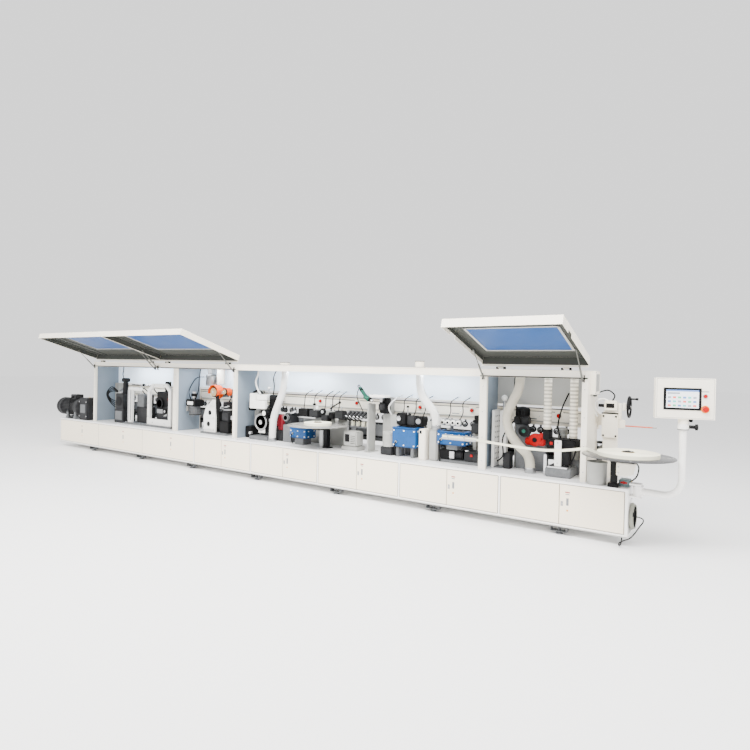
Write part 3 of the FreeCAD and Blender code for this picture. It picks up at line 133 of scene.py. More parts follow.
def material(name, rgb, rough=0.45, metal=0.0, vary=0.06, scale=6.0, bump=0.02, fine=180.0,
             coat=0.0, brushed=None, alpha=1.0, glow=0.0, dirt=None, spec=0.5):
    """A paint, metal or plastic with colour drift, uneven gloss and fine relief."""
    mat = bpy.data.materials.new(name)
    mat.use_nodes = True
    nt = mat.node_tree
    shader = nt.nodes["Principled BSDF"]
    shader.inputs["Metallic"].default_value = metal
    shader.inputs["IOR"].default_value = 1.5
    shader.inputs["Coat Weight"].default_value = coat
    shader.inputs["Coat Roughness"].default_value = 0.15
    shader.inputs["Alpha"].default_value = alpha
    shader.inputs["Specular IOR Level"].default_value = spec
    place = nt.nodes.new("ShaderNodeTexCoord").outputs["Object"]
    mapping = shader_node(nt, "ShaderNodeMapping", {"Scale": brushed or (1.0, 1.0, 1.0)}, Vector=place)
    stretched = mapping.outputs["Vector"]
    noise = shader_node(nt, "ShaderNodeTexNoise", {"Scale": scale, "Detail": 4.0}, Vector=stretched)
    cloud = noise.outputs["Fac"]
    low = [max(c * (1.0 - vary), 0.0) for c in rgb]
    high = [min(c * (1.0 + vary * 0.6), 1.0) for c in rgb]
    colour = colour_ramp(nt, cloud, ((0.3, low), (0.7, high)))
    if dirt:
        soot = shader_node(nt, "ShaderNodeTexNoise",
                           {"Scale": scale * 5.0, "Detail": 8.0, "Roughness": 0.7}, Vector=place)
        cut = shader_node(nt, "ShaderNodeMapRange", {"From Min": 0.56, "From Max": 0.72, "To Max": 0.75},
                          Value=soot.outputs["Fac"])
        mix = shader_node(nt, "ShaderNodeMixRGB", {"Color2": (*dirt, 1.0)}, Fac=cut.outputs["Result"],
                          Color1=colour)
        colour = mix.outputs["Color"]
    nt.links.new(colour, shader.inputs["Base Color"])
    gloss = shader_node(nt, "ShaderNodeMapRange",
                        {"To Min": max(rough - 0.08, 0.03), "To Max": min(rough + 0.1, 1.0)}, Value=cloud)
    nt.links.new(gloss.outputs["Result"], shader.inputs["Roughness"])
    grain = shader_node(nt, "ShaderNodeTexNoise", {"Scale": fine, "Detail": 2.0}, Vector=stretched)
    relief = shader_node(nt, "ShaderNodeBump", {"Strength": bump, "Distance": 0.002}, Height=grain.outputs["Fac"])
    nt.links.new(relief.outputs["Normal"], shader.inputs["Normal"])
    if glow:
        shader.inputs["Emission Color"].default_value = (*rgb, 1.0)
        shader.inputs["Emission Strength"].default_value = glow
    return mat


CREAM = material("cream_paint", (0.96, 0.86, 0.685), 0.42, coat=0.1, vary=0.025, scale=1.2)
WHITE = material("white_paint", (0.90, 0.885, 0.85), 0.4, coat=0.15, vary=0.03, scale=2.0)
DECK = material("deck_paint", (0.80, 0.80, 0.80), 0.38, vary=0.06, scale=3.0, dirt=(0.60, 0.58, 0.54))
IVORY = material("ivory_paint", (0.91, 0.85, 0.73), 0.42, coat=0.1, vary=0.03)
INNER = material("inner_grey_paint", (0.21, 0.255, 0.305), 0.5, vary=0.08, scale=3.0, spec=0.3)
# painted light: a glowing bluish-white finish for hood back panels, which are no lamp
PAINTED_GLOW_PANEL = material("back_panel_painted_glow", (0.78, 0.88, 1.0), 0.5, vary=0.04, scale=2.0, glow=0.5)
LIDGREY = material("lid_inner_grey", (0.050, 0.053, 0.047), 0.6, vary=0.1, scale=4.0, spec=0.2)
WINDOW = material("blue_window", (0.030, 0.088, 0.255), 0.3, vary=0.05, scale=1.5, bump=0.004,
                  alpha=0.97, spec=0.08)
BLACK = material("black_paint", (0.006, 0.006, 0.0065), 0.45, vary=0.3, scale=20.0, bump=0.05, spec=0.12)
RUBBER = material("black_rubber", (0.008, 0.008, 0.008), 0.75, vary=0.3, scale=25.0, bump=0.15,
                  fine=420.0, spec=0.1)
STEEL = material("bright_steel", (0.62, 0.62, 0.63), 0.26, 1.0, vary=0.12, scale=14.0, bump=0.05,
                 brushed=(1.0, 1.0, 14.0))
ALU = material("aluminium", (0.36, 0.365, 0.37), 0.36, 0.9, vary=0.1, scale=18.0, bump=0.05,
               brushed=(14.0, 1.0, 1.0))
CASTGREY = material("machine_grey", (0.13, 0.135, 0.14), 0.5, vary=0.16, scale=16.0, bump=0.12,
                    fine=300.0, spec=0.3, dirt=(0.03, 0.03, 0.03))
MIDGREY = material("cover_grey", (0.34, 0.34, 0.32), 0.5, vary=0.08, scale=9.0, bump=0.05, spec=0.3)
DARKGREY = material("motor_grey", (0.018, 0.0185, 0.020), 0.5, vary=0.3, scale=14.0, bump=0.12,
                    fine=300.0, spec=0.2)
RED = material("red_plastic", (0.40, 0.0015, 0.003), 0.35, vary=0.1, scale=30.0, spec=0.15)
DARKRED = material("dark_red_paint", (0.16, 0.003, 0.01), 0.4, vary=0.15, scale=10.0, spec=0.25)
ORANGE = material("orange_paint", (0.82, 0.082, 0.001), 0.45, vary=0.08, scale=10.0, spec=0.15)
YELLOW = material("yellow_plastic", (0.80, 0.33, 0.006), 0.35, vary=0.08, scale=20.0, spec=0.3)
BLUE = material("tank_blue", (0.003, 0.062, 0.215), 0.38, vary=0.12, scale=9.0, coat=0.1,
                dirt=(0.004, 0.02, 0.06), spec=0.25)
GREEN = material("green_paint", (0.006, 0.085, 0.055), 0.4, vary=0.15, scale=12.0, spec=0.25)
SMOKED = material("smoked_acrylic", (0.055, 0.055, 0.058), 0.15, vary=0.08, scale=3.0, bump=0.005,
                  coat=0.15, alpha=0.9, spec=0.25)
REELGREY = material("grey_acrylic", (0.19, 0.185, 0.17), 0.25, vary=0.08, scale=3.0, bump=0.01,
                    coat=0.1, spec=0.3)
TAPE = material("tape_edge", (0.90, 0.87, 0.68), 0.4, vary=0.05, scale=12.0, bump=0.05)
CORE = material("card_core", (0.45, 0.33, 0.18), 0.8, vary=0.15, scale=40.0, bump=0.2)
HOSEWHITE = material("hose_white", (0.72, 0.71, 0.69), 0.5, vary=0.07, scale=9.0, spec=0.3)
HOSEBEIGE = material("hose_beige", (0.50, 0.47, 0.39), 0.5, vary=0.07, scale=9.0, spec=0.3)
SALMON = material("guide_bar_red", (0.66, 0.12, 0.06), 0.4, vary=0.08, scale=10.0, spec=0.3)
LABEL = material("plain_label", (0.36, 0.05, 0.04), 0.5, vary=0.2, scale=60.0)
LABELGREY = material("plain_label_grey", (0.19, 0.20, 0.21), 0.5, vary=0.2, scale=60.0)
LED = material("led_tube", (0.90, 0.95, 1.0), 0.4, glow=4.0)
SCREEN = material("screen_lit", (0.80, 0.84, 0.88), 0.2, vary=0.02, scale=6.0, glow=0.45)
INK = [material("screen_ink_%d" % i, c, 0.3, glow=0.3) for i, c in enumerate(
    [(0.75, 0.12, 0.10), (0.10, 0.50, 0.25), (0.12, 0.22, 0.50), (0.10, 0.55, 0.50), (0.30, 0.32, 0.36)])]
# painted shade: a dark finish for thin strips laid on faces where the gaps between covers and panels are in shade
GAP_SHADE = material("panel_gap_painted_shade", (0.13, 0.10, 0.08), 0.7, vary=0.1, spec=0.2)
HOSEGREY = material("air_hose_grey", (0.26, 0.26, 0.22), 0.5, vary=0.12, scale=20.0, spec=0.3)
BACKPLAIN = material("plain_back_panel", (0.42, 0.415, 0.39), 0.5, vary=0.06, scale=3.0, spec=0.3)
STRUT = material("strut_steel", (0.16, 0.16, 0.145), 0.4, 0.5, vary=0.12, scale=20.0, bump=0.03)
TEAL = material("valve_teal_grey", (0.16, 0.235, 0.245), 0.45, vary=0.12, scale=18.0, bump=0.06, spec=0.3)
BRASS = material("brass", (0.70, 0.48, 0.18), 0.3, 1.0, vary=0.1, scale=30.0)


# ---- mesh building ------------------------------------------------------------------
class Piece:
    """One mesh object put together from rounded parts, riding on one body.

    hides names the CAD nodes that it stands for; frame_of is a tilted frame to build in.
    """

    def __init__(self, name, body="machine_body", hides=(), frame_of=None):
        self.name = name
        self.body = body
        self.hides = hides
        self.place = frame_of or Matrix.Identity(4)
        self.verts = []
        self.faces = []
        self.face_mats = []
        self.mats = []

    def _slot(self, mat):
        if mat not in self.mats:
            self.mats.append(mat)
        return self.mats.index(mat)

    def add(self, verts, faces, mat):
        """Add faces with one finish; every shape below except bolts returns the piece, as this does."""
        start = len(self.verts)
        self.verts.extend(W(*(self.place @ Vector(v))) for v in verts)
        self.faces.extend(tuple(i + start for i in f) for f in faces)
        self.face_mats.extend([self._slot(mat)] * len(faces))
        return self

    def _solid(self, bm, bevel, mat):
        if bevel > 0.0:
            edges = [e for e in bm.edges if e.calc_face_angle(0.0) > 0.6]
            bmesh.ops.bevel(bm, geom=edges, offset=bevel, segments=2, affect="EDGES", clamp_overlap=True)
        bm.verts.index_update()
        self.add([v.co[:] for v in bm.verts], [[v.index for v in f.verts] for f in bm.faces], mat)
        bm.free()
        return self

    def box(self, mat, x0, x1, y0, y1, z0, z1, bevel=3.0, turn=None):
        """A rounded block; turn is (axis, degrees) about its own centre."""
        bm = bmesh.new()
        bmesh.ops.create_cube(bm, size=1.0)
        centre = Vector(((x0 + x1) / 2.0, (y0 + y1) / 2.0, (z0 + z1) / 2.0))
        size = (abs(x1 - x0), abs(y1 - y0), abs(z1 - z0))
        bm.transform(Matrix.Diagonal((*size, 1.0)))
        edges = list(bm.edges)
        cut = min(bevel, min(size) * 0.35)
        if cut > 0.0:
            bmesh.ops.bevel(bm, geom=edges, offset=cut, segments=2, affect="EDGES")
        spin = Matrix.Identity(4)
        if turn:
            spin = Matrix.Rotation(math.radians(turn[1]), 4, turn[0])
        bm.transform(Matrix.Translation(centre) @ spin)
        return self._solid(bm, 0.0, mat)

    def plate(self, mat, points, axis, low, high, bevel=2.0):
        """A plate with an outline in the plane across axis."""
        order = {"X": (1, 2, 0), "Y": (0, 2, 1), "Z": (0, 1, 2)}[axis]
        bm = bmesh.new()
        ring = []
        for a, b in points:
            co = [0.0, 0.0, 0.0]
            co[order[0]], co[order[1]], co[order[2]] = a, b, low
            ring.append(bm.verts.new(co))
        face = bm.faces.new(ring)
        out = bmesh.ops.extrude_face_region(bm, geom=[face])
        moved = [v for v in out["geom"] if isinstance(v, bmesh.types.BMVert)]
        shift = [0.0, 0.0, 0.0]
        shift[order[2]] = high - low
        bmesh.ops.translate(bm, verts=moved, vec=shift)
        bmesh.ops.recalc_face_normals(bm, faces=bm.faces)
        return self._solid(bm, min(bevel, abs(high - low) * 0.3), mat)

    def _rings(self, start, end, profile, seg):
        """Circles about the line from start to end, one for each (mm along, radius)."""
        a = Vector(start)
        axis = (Vector(end) - a).normalized()
        side = axis.orthogonal().normalized()
        other = axis.cross(side)
        verts = []
        for t, r in profile:
            for i in range(seg):
                angle = 2.0 * math.pi * i / seg
                verts.append((a + axis * t + (side * math.cos(angle) + other * math.sin(angle)) * r)[:])
        return verts

    def _bands(self, rings, seg, joined=False):
        """Faces between neighbouring rings; without joined, both ends get a cap."""
        faces = []
        for k in range(rings if joined else rings - 1):
            n = (k + 1) % rings
            for i in range(seg):
                j = (i + 1) % seg
                faces.append((k * seg + i, k * seg + j, n * seg + j, n * seg + i))
        if not joined:
            last = (rings - 1) * seg
            faces.append(tuple(reversed(range(seg))))
            faces.append(tuple(range(last, last + seg)))
        return faces

    def lathe(self, mat, start, end, profile, seg=32):
        """A turned part from start towards end; profile lists (mm along, radius)."""
        return self.add(self._rings(start, end, profile, seg), self._bands(len(profile), seg), mat)

    def cyl(self, mat, start, end, r, bevel=2.0, seg=32):
        """A round bar with softened ends."""
        length = (Vector(end) - Vector(start)).length
        b = min(bevel, length * 0.3, r * 0.4)
        return self.lathe(mat, start, end, [(0.0, r - b), (b * 0.3, r - b * 0.3), (b, r),
                                            (length - b, r), (length - b * 0.3, r - b * 0.3),
                                            (length, r - b)], seg)

    def pipe(self, mat, start, end, outer, inner, seg=40):
        """An open tube with rounded lips."""
        length = (Vector(end) - Vector(start)).length
        b = min(1.5, (outer - inner) * 0.3, length * 0.3)
        loop = [(0.0, inner + b), (0.0, outer - b), (b, outer), (length - b, outer),
                (length, outer - b), (length, inner + b), (length - b, inner), (b, inner)]
        return self.add(self._rings(start, end, loop, seg), self._bands(len(loop), seg, True), mat)

    def bolt(self, mat, at, axis, r=7.0, head=6.0):
        """A socket-head screw standing out along axis."""
        a = Vector(at)
        d = Vector(axis).normalized()
        return self.lathe(mat, a, a + d * head, [(0.0, r), (head * 0.8, r), (head, r * 0.85),
                                                 (head, r * 0.5), (head * 0.4, r * 0.45)], 12)

    def bolts(self, mat, xs, ys, zs, axis, r=7.0, head=6.0):
        """Screws at every crossing of the places; each of xs, ys and zs is one number or several."""
        xs, ys, zs = (v if isinstance(v, tuple) else (v,) for v in (xs, ys, zs))
        for at in itertools.product(xs, ys, zs):
            self.bolt(mat, at, axis, r, head)

    def hexnut(self, mat, at, axis, r=9.0, height=8.0):
        """A hexagon nut standing out along axis."""
        a = Vector(at)
        d = Vector(axis).normalized()
        return self.lathe(mat, a, a + d * height, [(0.0, r), (height * 0.85, r), (height, r * 0.88)], 6)

    def wire(self, mat, points, r, seg=8, steps=6):
        """A fixed conduit or bent rod through the points, smoothed."""
        pts = [Vector(p) for p in points]
        line = []
        for i in range(len(pts) - 1):
            p0, p1, p2, p3 = pts[max(i - 1, 0)], pts[i], pts[i + 1], pts[min(i + 2, len(pts) - 1)]
            for k in range(steps):
                t = k / steps
                line.append(0.5 * ((2 * p1) + (p2 - p0) * t + (2 * p0 - 5 * p1 + 4 * p2 - p3) * t * t
                                   + (3 * p1 - p0 - 3 * p2 + p3) * t ** 3))
        line.append(pts[-1])
        return self.sweep(mat, line, [r] * len(line), seg)

    def sweep(self, mat, line, radii, seg=16):
        """A tube along the points with a radius at each."""
        verts = []
        normal = None
        for i, p in enumerate(line):
            tangent = (line[min(i + 1, len(line) - 1)] - line[max(i - 1, 0)]).normalized()
            if normal is None:
                normal = tangent.orthogonal().normalized()
            normal = (normal - tangent * normal.dot(tangent)).normalized()
            other = tangent.cross(normal)
            for k in range(seg):
                angle = 2.0 * math.pi * k / seg
                verts.append((p + (normal * math.cos(angle) + other * math.sin(angle)) * radii[i])[:])
        return self.add(verts, self._bands(len(line), seg), mat)

    def motor(self, start, end, r, mat=None, fins=20, cap=None):
        """A finned electric motor with a cowl at its far end."""
        mat = mat or DARKGREY
        a, b = Vector(start), Vector(end)
        length = (b - a).length
        d = (b - a).normalized()
        side = d.orthogonal().normalized()
        other = d.cross(side)
        self.cyl(mat, a, b, r * 0.86, 4.0)
        self.lathe(cap or mat, a, a + d * length * 0.12,
                   [(0.0, r * 0.7), (3.0, r * 0.97), (length * 0.12, r * 0.97)])
        cowl = length * 0.26
        c0 = b - d * cowl
        self.lathe(cap or mat, c0, b, [(0.0, r * 0.9), (2.0, r), (cowl * 0.75, r),
                                       (cowl * 0.95, r * 0.9), (cowl, r * 0.8)])
        for i in range(6):
            t = cowl * (0.3 + 0.08 * i)
            self.lathe(BLACK, c0 + d * t, c0 + d * (t + 2.0), [(0.0, r * 1.005), (2.0, r * 1.005)])
        for i in range(fins):
            angle = 2.0 * math.pi * i / fins
            out = side * math.cos(angle) + other * math.sin(angle)
            tan = d.cross(out)
            p0 = a + d * length * 0.13
            p1 = c0
            t = r * 0.018 + 0.8
            quad = []
            for p in (p0, p1):
                for rr in (r * 0.84, r * 0.985):
                    for s in (-t, t):
                        quad.append((p + out * rr + tan * s)[:])
            self.add(quad, [(0, 2, 3, 1), (4, 5, 7, 6), (0, 4, 6, 2), (1, 3, 7, 5), (2, 6, 7, 3)], mat)
        return self

    def done(self, smooth=40.0):
        """Make the object, smooth up to an angle, and let it ride and replace."""
        mesh = bpy.data.meshes.new(self.name)
        mesh.from_pydata([v[:] for v in self.verts], [], self.faces)
        for mat in self.mats:
            mesh.materials.append(mat)
        mesh.polygons.foreach_set("material_index", self.face_mats)
        mesh.polygons.foreach_set("use_smooth", [True] * len(mesh.polygons))
        mesh.update()
        mesh.set_sharp_from_angle(angle=math.radians(smooth))
        obj = bpy.data.objects.new(self.name, mesh)
        bpy.context.scene.collection.objects.link(obj)
        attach(obj, self.body)
        if self.hides:
            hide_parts(*self.hides)
        return obj


def dress(node, mat):
    """Give every slot of a CAD node its finish."""
    obj = bpy.data.objects[node]
    for s in obj.material_slots:
        s.material = mat


# ---- hoses and cable ------------------------------------------------------------------
LEFT_HOSE = [(-4600, 300, 1590), (-4600, 300, 1440), (-4622, 290, 1270), (-4690, 275, 1090),
             (-4745, 250, 930), (-4760, 235, 760), (-4760, 235, 590)]
MIDDLE_HOSE = [(-2430, 350, 1590), (-2430, 350, 1470), (-2385, 325, 1330), (-2280, 300, 1210),
               (-2160, 300, 1095), (-2160, 300, 955)]
RIGHT_HOSE = [(-1150, 300, 1590), (-1150, 300, 1450), (-1225, 270, 1290), (-1285, 250, 1130),
              (-1240, 240, 960), (-1130, 235, 820), (-1000, 240, 720), (-1000, 240, 590)]
SUPPLY_CABLE = [(0, 150, 270), (70, 150, 270), (122, 108, 266), (128, 38, 250), (104, -34, 220),
                (76, -72, 168), (34, -88, 112), (-24, -90, 86), (-62, -72, 50),
                (-66, -12, 10), (-64, 52, 8), (-64, 112, 20), (-64, 135, 90)]


def spline_curve(name, route):
    """The NURBS curve that the CAD route was built on."""
    data = bpy.data.curves.new(name, "CURVE")
    data.dimensions = "3D"
    data.resolution_u = 24
    spline = data.splines.new("NURBS")
    spline.points.add(len(route) - 1)
    for point, co in zip(spline.points, route):
        point.co = (*W(*co), 1.0)
    spline.order_u = 3
    spline.use_endpoint_u = True
    obj = bpy.data.objects.new(name, data)
    bpy.context.scene.collection.objects.link(obj)
    return obj


def spline_points(route, spacing):
    """Points along the route's own spline, evenly spaced, in metres."""
    curve = spline_curve("route_only", route)
    bpy.context.view_layer.update()
    mesh = bpy.data.meshes.new_from_object(curve)
    raw = [v.co.copy() for v in mesh.vertices]
    bpy.data.objects.remove(curve)
    bpy.data.meshes.remove(mesh)
    total = sum((raw[i + 1] - raw[i]).length for i in range(len(raw) - 1))
    count = max(int(total / spacing), 4)
    out, target, run, i = [], 0.0, 0.0, 0
    for k in range(count + 1):
        target = total * k / count
        while i < len(raw) - 2 and run + (raw[i + 1] - raw[i]).length < target:
            run += (raw[i + 1] - raw[i]).length
            i += 1
        seg = (raw[i + 1] - raw[i]).length
        out.append(raw[i].lerp(raw[i + 1], min(max((target - run) / seg, 0.0), 1.0)))
    return out, total


def hose_socket(piece, x, y, low, high, r, ring):
    """The flange that a suction hose stands on, and the clamp ring above it."""
    piece.cyl(ALU, (x, y, low), (x, y, high), r, 3)
    piece.pipe(STEEL, (x, y, high + 2), (x, y, high + 2 + ring), 57, 52.6)


def ribbed_hose(name, route, mat, node, rib=14.0):
    """A corrugated hose along a route; rib is its pitch in millimetres, in four steps."""
    line, total = spline_points(route, rib / 4000.0)
    back = [(p - SHIFT) * 1000.0 for p in line]
    radii = [HOSE_R - (0.0, 2.0, 5.0, 2.0)[i % 4] for i in range(len(line))]
    piece = Piece(name, hides=(node,))
    piece.sweep(mat, back, radii, 28)
    obj = piece.done(60.0)
    return obj


ribbed_hose("left_suction_hose", LEFT_HOSE, HOSEWHITE, "suction_hose_left")
ribbed_hose("middle_suction_hose", MIDDLE_HOSE, HOSEWHITE, "suction_hose_middle")
ribbed_hose("right_suction_hose", RIGHT_HOSE, HOSEBEIGE, "suction_hose_right")
cable = spline_curve("mains_cable", SUPPLY_CABLE)
cable.data.bevel_depth = 0.0055
cable.data.bevel_resolution = 4
cable.data.materials.append(RUBBER)
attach(cable, "machine_body")
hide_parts("supply_cable")
spline_points(SUPPLY_CABLE, 0.004)[1]

# ---- finishes of the carried-over CAD nodes ----------------------------------------------
for node, mat in {
        "base_frame": WHITE, "table_plate": DECK, "fixed_covers": CREAM, "levelling_feet": CASTGREY,
        "hood_left": IVORY, "hood_middle": IVORY, "hood_right": IVORY, "hood_fittings": BLACK,
        "pressure_beam": IVORY, "beam_columns": MIDGREY, "chain_track": CASTGREY,
        "hot_air_gun": GREEN, "edge_tape": TAPE, "height_handwheel": BLACK, "panel_arm": WHITE,
        "panel_box": IVORY, "panel_button": RED, "panel_estop": RED,
        "touch_screen": BLACK}.items():
    dress(node, mat)
for i in range(1, 6):
    dress("door_%d" % i, CREAM)
    dress("estop_button_%d" % i, RED)
for i in range(1, 4):
    dress("lid_%d" % i, IVORY)
    dress("lid_window_%d" % i, WINDOW)
    dress("strut_tubes_%d" % i, STRUT)
    dress("strut_rods_%d" % i, STRUT)

# ---- doors, base ------------------------------------------------------------------------
def marks(piece, x, patches):
    """Plain patches on the front, without lettering; each is (finish, x0, x1, z0, z1) from x."""
    for mat, x0, x1, z0, z1 in patches:
        piece.box(mat, x + x0, x + x1, -0.7, 0.2, z0, z1, 0.2)


for i in range(5):
    left = DOOR_EDGE - DOOR_PITCH * i - DOOR_WIDTH + 1.5
    leaf = Piece("door_trim_%d" % (i + 1), "door_%d" % (i + 1))
    leaf.box(MIDGREY, left + 10, left + 34, -1.2, 1.0, 302, 350, 1.0)
    leaf.box(ALU, left + 13, left + 31, -1.8, 0.5, 306, 346, 1.0)
    leaf.cyl(STEEL, (left + 22, 1, 326), (left + 22, -3.4, 326), 7.0, 1.0, 20)
    leaf.box(DARKGREY, left + 20.8, left + 23.2, -3.9, -3.0, 321, 331, 0.2)
    mark = left + 52.0
    marks(leaf, mark, ((LABEL, 0, 46, 436, 448), (LABELGREY, 4, 42, 418, 426),
                       (LABELGREY, 12, 36, 312, 384), (YELLOW, 15, 33, 254, 270)))
    leaf.done()
covers = Piece("cover_trim")
for i in range(5):
    right = DOOR_EDGE - DOOR_PITCH * i
    split = right - DOOR_WIDTH
    left = split - COVER_WIDTH
    # painted shade: dark strips on the cover faces beside each door and cover stand in for the shade in the gaps
    # there
    for x in (right + 3.1, left - 7.1, split - 5.6):
        covers.box(GAP_SHADE, x, x + 4.0, -0.5, 0.6, 119, 519, 0.2)
    for z in (SPLIT_Z, 517.2):
        covers.box(GAP_SHADE, left - 3, right + 3, -0.5, 0.6, z, z + 3.6, 0.2)
    covers.bolts(IVORY, (left + 16, split - 20), 0.5, (140, 498), (0, -1, 0), 5.5, 2.0)
for i in range(3):
    width = (PLAIN_FRONT[1] - PLAIN_FRONT[0]) / 3.0
    left = PLAIN_FRONT[0] + width * i
    # painted shade: dark strips on the faces of the plain covers stand in for the shade in the gaps between them
    covers.box(GAP_SHADE, left - 2.2, left + 2.2, -0.5, 0.6, 119, 519, 0.2)
    for z in (SPLIT_Z, 517.2):
        covers.box(GAP_SHADE, left, left + width, -0.5, 0.6, z, z + 3.6, 0.2)
    mark = left + width * 0.56
    marks(covers, mark, ((LABEL, 0, 46, 436, 448), (LABELGREY, 12, 36, 312, 384),
                         (YELLOW, 15, 33, 254, 270)))
    covers.bolt(IVORY, (left + 20, 0.5, 498), (0, -1, 0), 5.5, 2.0)
    covers.bolt(IVORY, (left + width - 20, 0.5, 498), (0, -1, 0), 5.5, 2.0)
covers.done()
plinth = Piece("plinth_strip")
plinth.box(MIDGREY, -10178, -2, -0.8, 2, 91, 99, 0.4)
for i in range(26):
    plinth.bolt(STEEL, (-180.0 - 390.0 * i, 22, 546.8), (0, 0, 1), 8.0, 5.0)
plinth.done()

# ---- hoods ------------------------------------------------------------------------------
liner = Piece("hood_liners")
liner.box(INNER, -9182.5, -9181.2, 148, 580, 548, 1638, 0.3)
liner.box(INNER, -6785.2, -6784.0, 148, 580, 548, 1638, 0.3)
liner.box(INNER, -5399.4, -5398.2, 148, 590, 548, 1638, 0.3)
liner.box(INNER, -1508.4, -1507.2, 148, 580, 548, 1638, 0.3)
for x0, x1 in ((-9180, -6818), (-6783, -5432), (-5397, -1541), (-1506, -436)):
    # painted light: in the left three bays the back panel gets the glowing finish; only the rightmost bay keeps
    # the plain grey panel
    lit = x1 < -1500
    liner.box(PAINTED_GLOW_PANEL if lit else BACKPLAIN, x0, x1, 578.6, 580.4, 1258, 1636, 0.3)
    liner.box(IVORY, x0, x1, 566, 580, 1250, 1256, 1.0)
    liner.box(INNER, x0, x1, 150, 570, 1637, 1639, 0.3)
    count = max(int((x1 - x0) / 1300), 1)
    for k in range(count):
        mid = x0 + (x1 - x0) * (k + 0.5) / count
        half = min(430.0, (x1 - x0) * 0.36 / count)
        liner.box(ALU, mid - half - 20, mid + half + 20, 470, 520, 1622, 1637, 3)
        liner.cyl(LED if lit else WHITE, (mid - half, 495, 1616), (mid + half, 495, 1616), 9.0, 3.0, 16)
        for x in (mid - half - 12, mid + half + 12):
            liner.box(BLACK, x - 12, x + 12, 482, 508, 1603, 1624, 2)
    for k in range(int((x1 - x0) / 620)):
        x = x0 + 310 + 620 * k
        liner.box(IVORY, x - 6, x + 6, 150, 570, 1618, 1637, 1.5)
liner.done()
edge = Piece("hood_edge_trim")
for x0, x1 in ((-9211, -5402), (-1537, -406)):
    edge.box(RUBBER, x0, x1, 100.5, 106.5, 1566, 1578, 2.0)
edge.box(IVORY, -9213, -404, 101.5, 106.2, 1640, 1649, 1.5)
edge.bolts(STEEL, (-9190, -6846, -6810, -5430, -1500, -432), 106, (640, 900, 1180, 1460), (0, -1, 0), 6.0, 3.5)
edge.box(MIDGREY, -403.6, -356.0, 226, 454, 1406, 1411, 1.0)
edge.box(MIDGREY, -358.6, -356.6, 262, 418, 1440, 1616, 1.0)
edge.bolts(BLACK, -358.2, (246, 434), (1424, 1630), (1, 0, 0), 5.0, 3.0)
for y in (300, 360):
    edge.cyl(BLACK, (-380, y, 1412), (-380, y, 1388), 12.0, 2.0, 20)
edge.done()
roof = Piece("roof_outlets")
for x, y, r, z in ((-4600, 300, 70, 1695), (-2430, 350, 55, 1735)):
    roof.pipe(ALU, (x, y, z - 12), (x, y, z - 0.5), r + 4.5, r - 0.5)
    roof.pipe(ALU, (x, y, 1651), (x, y, 1657), r + 26, r + 0.5)
    for k in range(6):
        dx, dy = on_circle(r + 16, 60 * k)
        roof.hexnut(STEEL, (x + dx, y + dy, 1657), (0, 0, 1), 6, 5)
for x, y in ((-4600, 300), (-2430, 350), (-1150, 300)):
    roof.pipe(STEEL, (x, y, 1577), (x, y, 1590), 56.0, 52.6)
    roof.box(STEEL, x + 54, x + 66, y - 7, y + 7, 1577, 1590, 1.5)
roof.done()

# ---- lids -------------------------------------------------------------------------------
# Each lid lies open, 17.5 degrees above level, and its frame starts at the hinge pins.
LID_HINGE = Vector((0.0, 140.0, 1668.0))
OPEN_LID = Matrix.Translation(LID_HINGE) @ Matrix.Rotation(math.radians(-17.5), 4, "X")
lids = (((-9211, -7303), (-8662, -7540), (350, 930)), ((-7299, -5402), (-6955, -5640), (325, 932)),
        ((-1537, -406), (-1392, -523), (240, 838)))
for i, ((x0, x1), (w0, w1), (u0, u1)) in enumerate(lids):
    lid = Piece("lid_lining_%d" % (i + 1), "lid_%d" % (i + 1), frame_of=OPEN_LID)

    def slab(mat, xa, xb, ua, ub, na, nb, bevel=0.4):
        """A slab from ua to ub along the lid and from na to nb above its hinge line."""
        lid.box(mat, xa, xb, -ub, -ua, na, nb, bevel)

    slab(LIDGREY, x0 + 5, x1 - 5, 6, 92, 118.2, 119.7)
    slab(LIDGREY, x0 + 5, x1 - 5, 92, u0 - 22, 118.2, 119.7)
    slab(LIDGREY, x0 + 5, x1 - 5, u1 + 22, 1079, 118.2, 119.7)
    slab(LIDGREY, x0 + 5, w0 - 22, u0 - 22, u1 + 22, 118.2, 119.7)
    slab(LIDGREY, w1 + 22, x1 - 5, u0 - 22, u1 + 22, 118.2, 119.7)
    for xa, xb, ua, ub in ((w0 - 26, w1 + 26, u0 - 26, u0 - 2), (w0 - 26, w1 + 26, u1 + 2, u1 + 26),
                           (w0 - 26, w0 - 2, u0 - 26, u1 + 26), (w1 + 2, w1 + 26, u0 - 26, u1 + 26)):
        slab(BACKPLAIN, xa, xb, ua, ub, 110.5, 114.6, 1.2)
    count = int((w1 - w0) / 210)
    for k in range(count + 1):
        x = w0 - 14 + (w1 - w0 + 28) * k / count
        for u in (u0 - 14, u1 + 14):
            lid.hexnut(STEEL, (x, -u, 110.7), (0, 0, -1), 6.0, 4.0)
    slab(LIDGREY, x0 + 6, x1 - 6, 1078.4, 1080.4, 42, 118)
    low = 46 if i < 2 else 76
    slab(LIDGREY, x0 + 4.4, x0 + 5.6, 8, 1076, low, 118)
    slab(LIDGREY, x0 + 6, x1 - 6, 4.4, 5.6, 34, 118)
    slab(LIDGREY, x1 - 5.6, x1 - 4.4, 8, 1076, low, 118)
    for x in (x0 + 120, (x0 + w0) / 2 + 40, (x1 + w1) / 2 - 10, x1 - 60):
        if not (w0 - 60 < x < w1 + 60) and x0 + 60 < x < x1 - 50:
            slab(LIDGREY, x - 14, x + 14, 20, 1070, 108, 118.4, 2.0)
    slab(STEEL, (x0 + x1) / 2 - 90, (x0 + x1) / 2 + 90, 1036, 1048, 62, 74, 4.0)
    for s in (-80, 80):
        slab(STEEL, (x0 + x1) / 2 + s - 6, (x0 + x1) / 2 + s + 6, 1036, 1048, 72, 119, 2.0)
    lid.done()

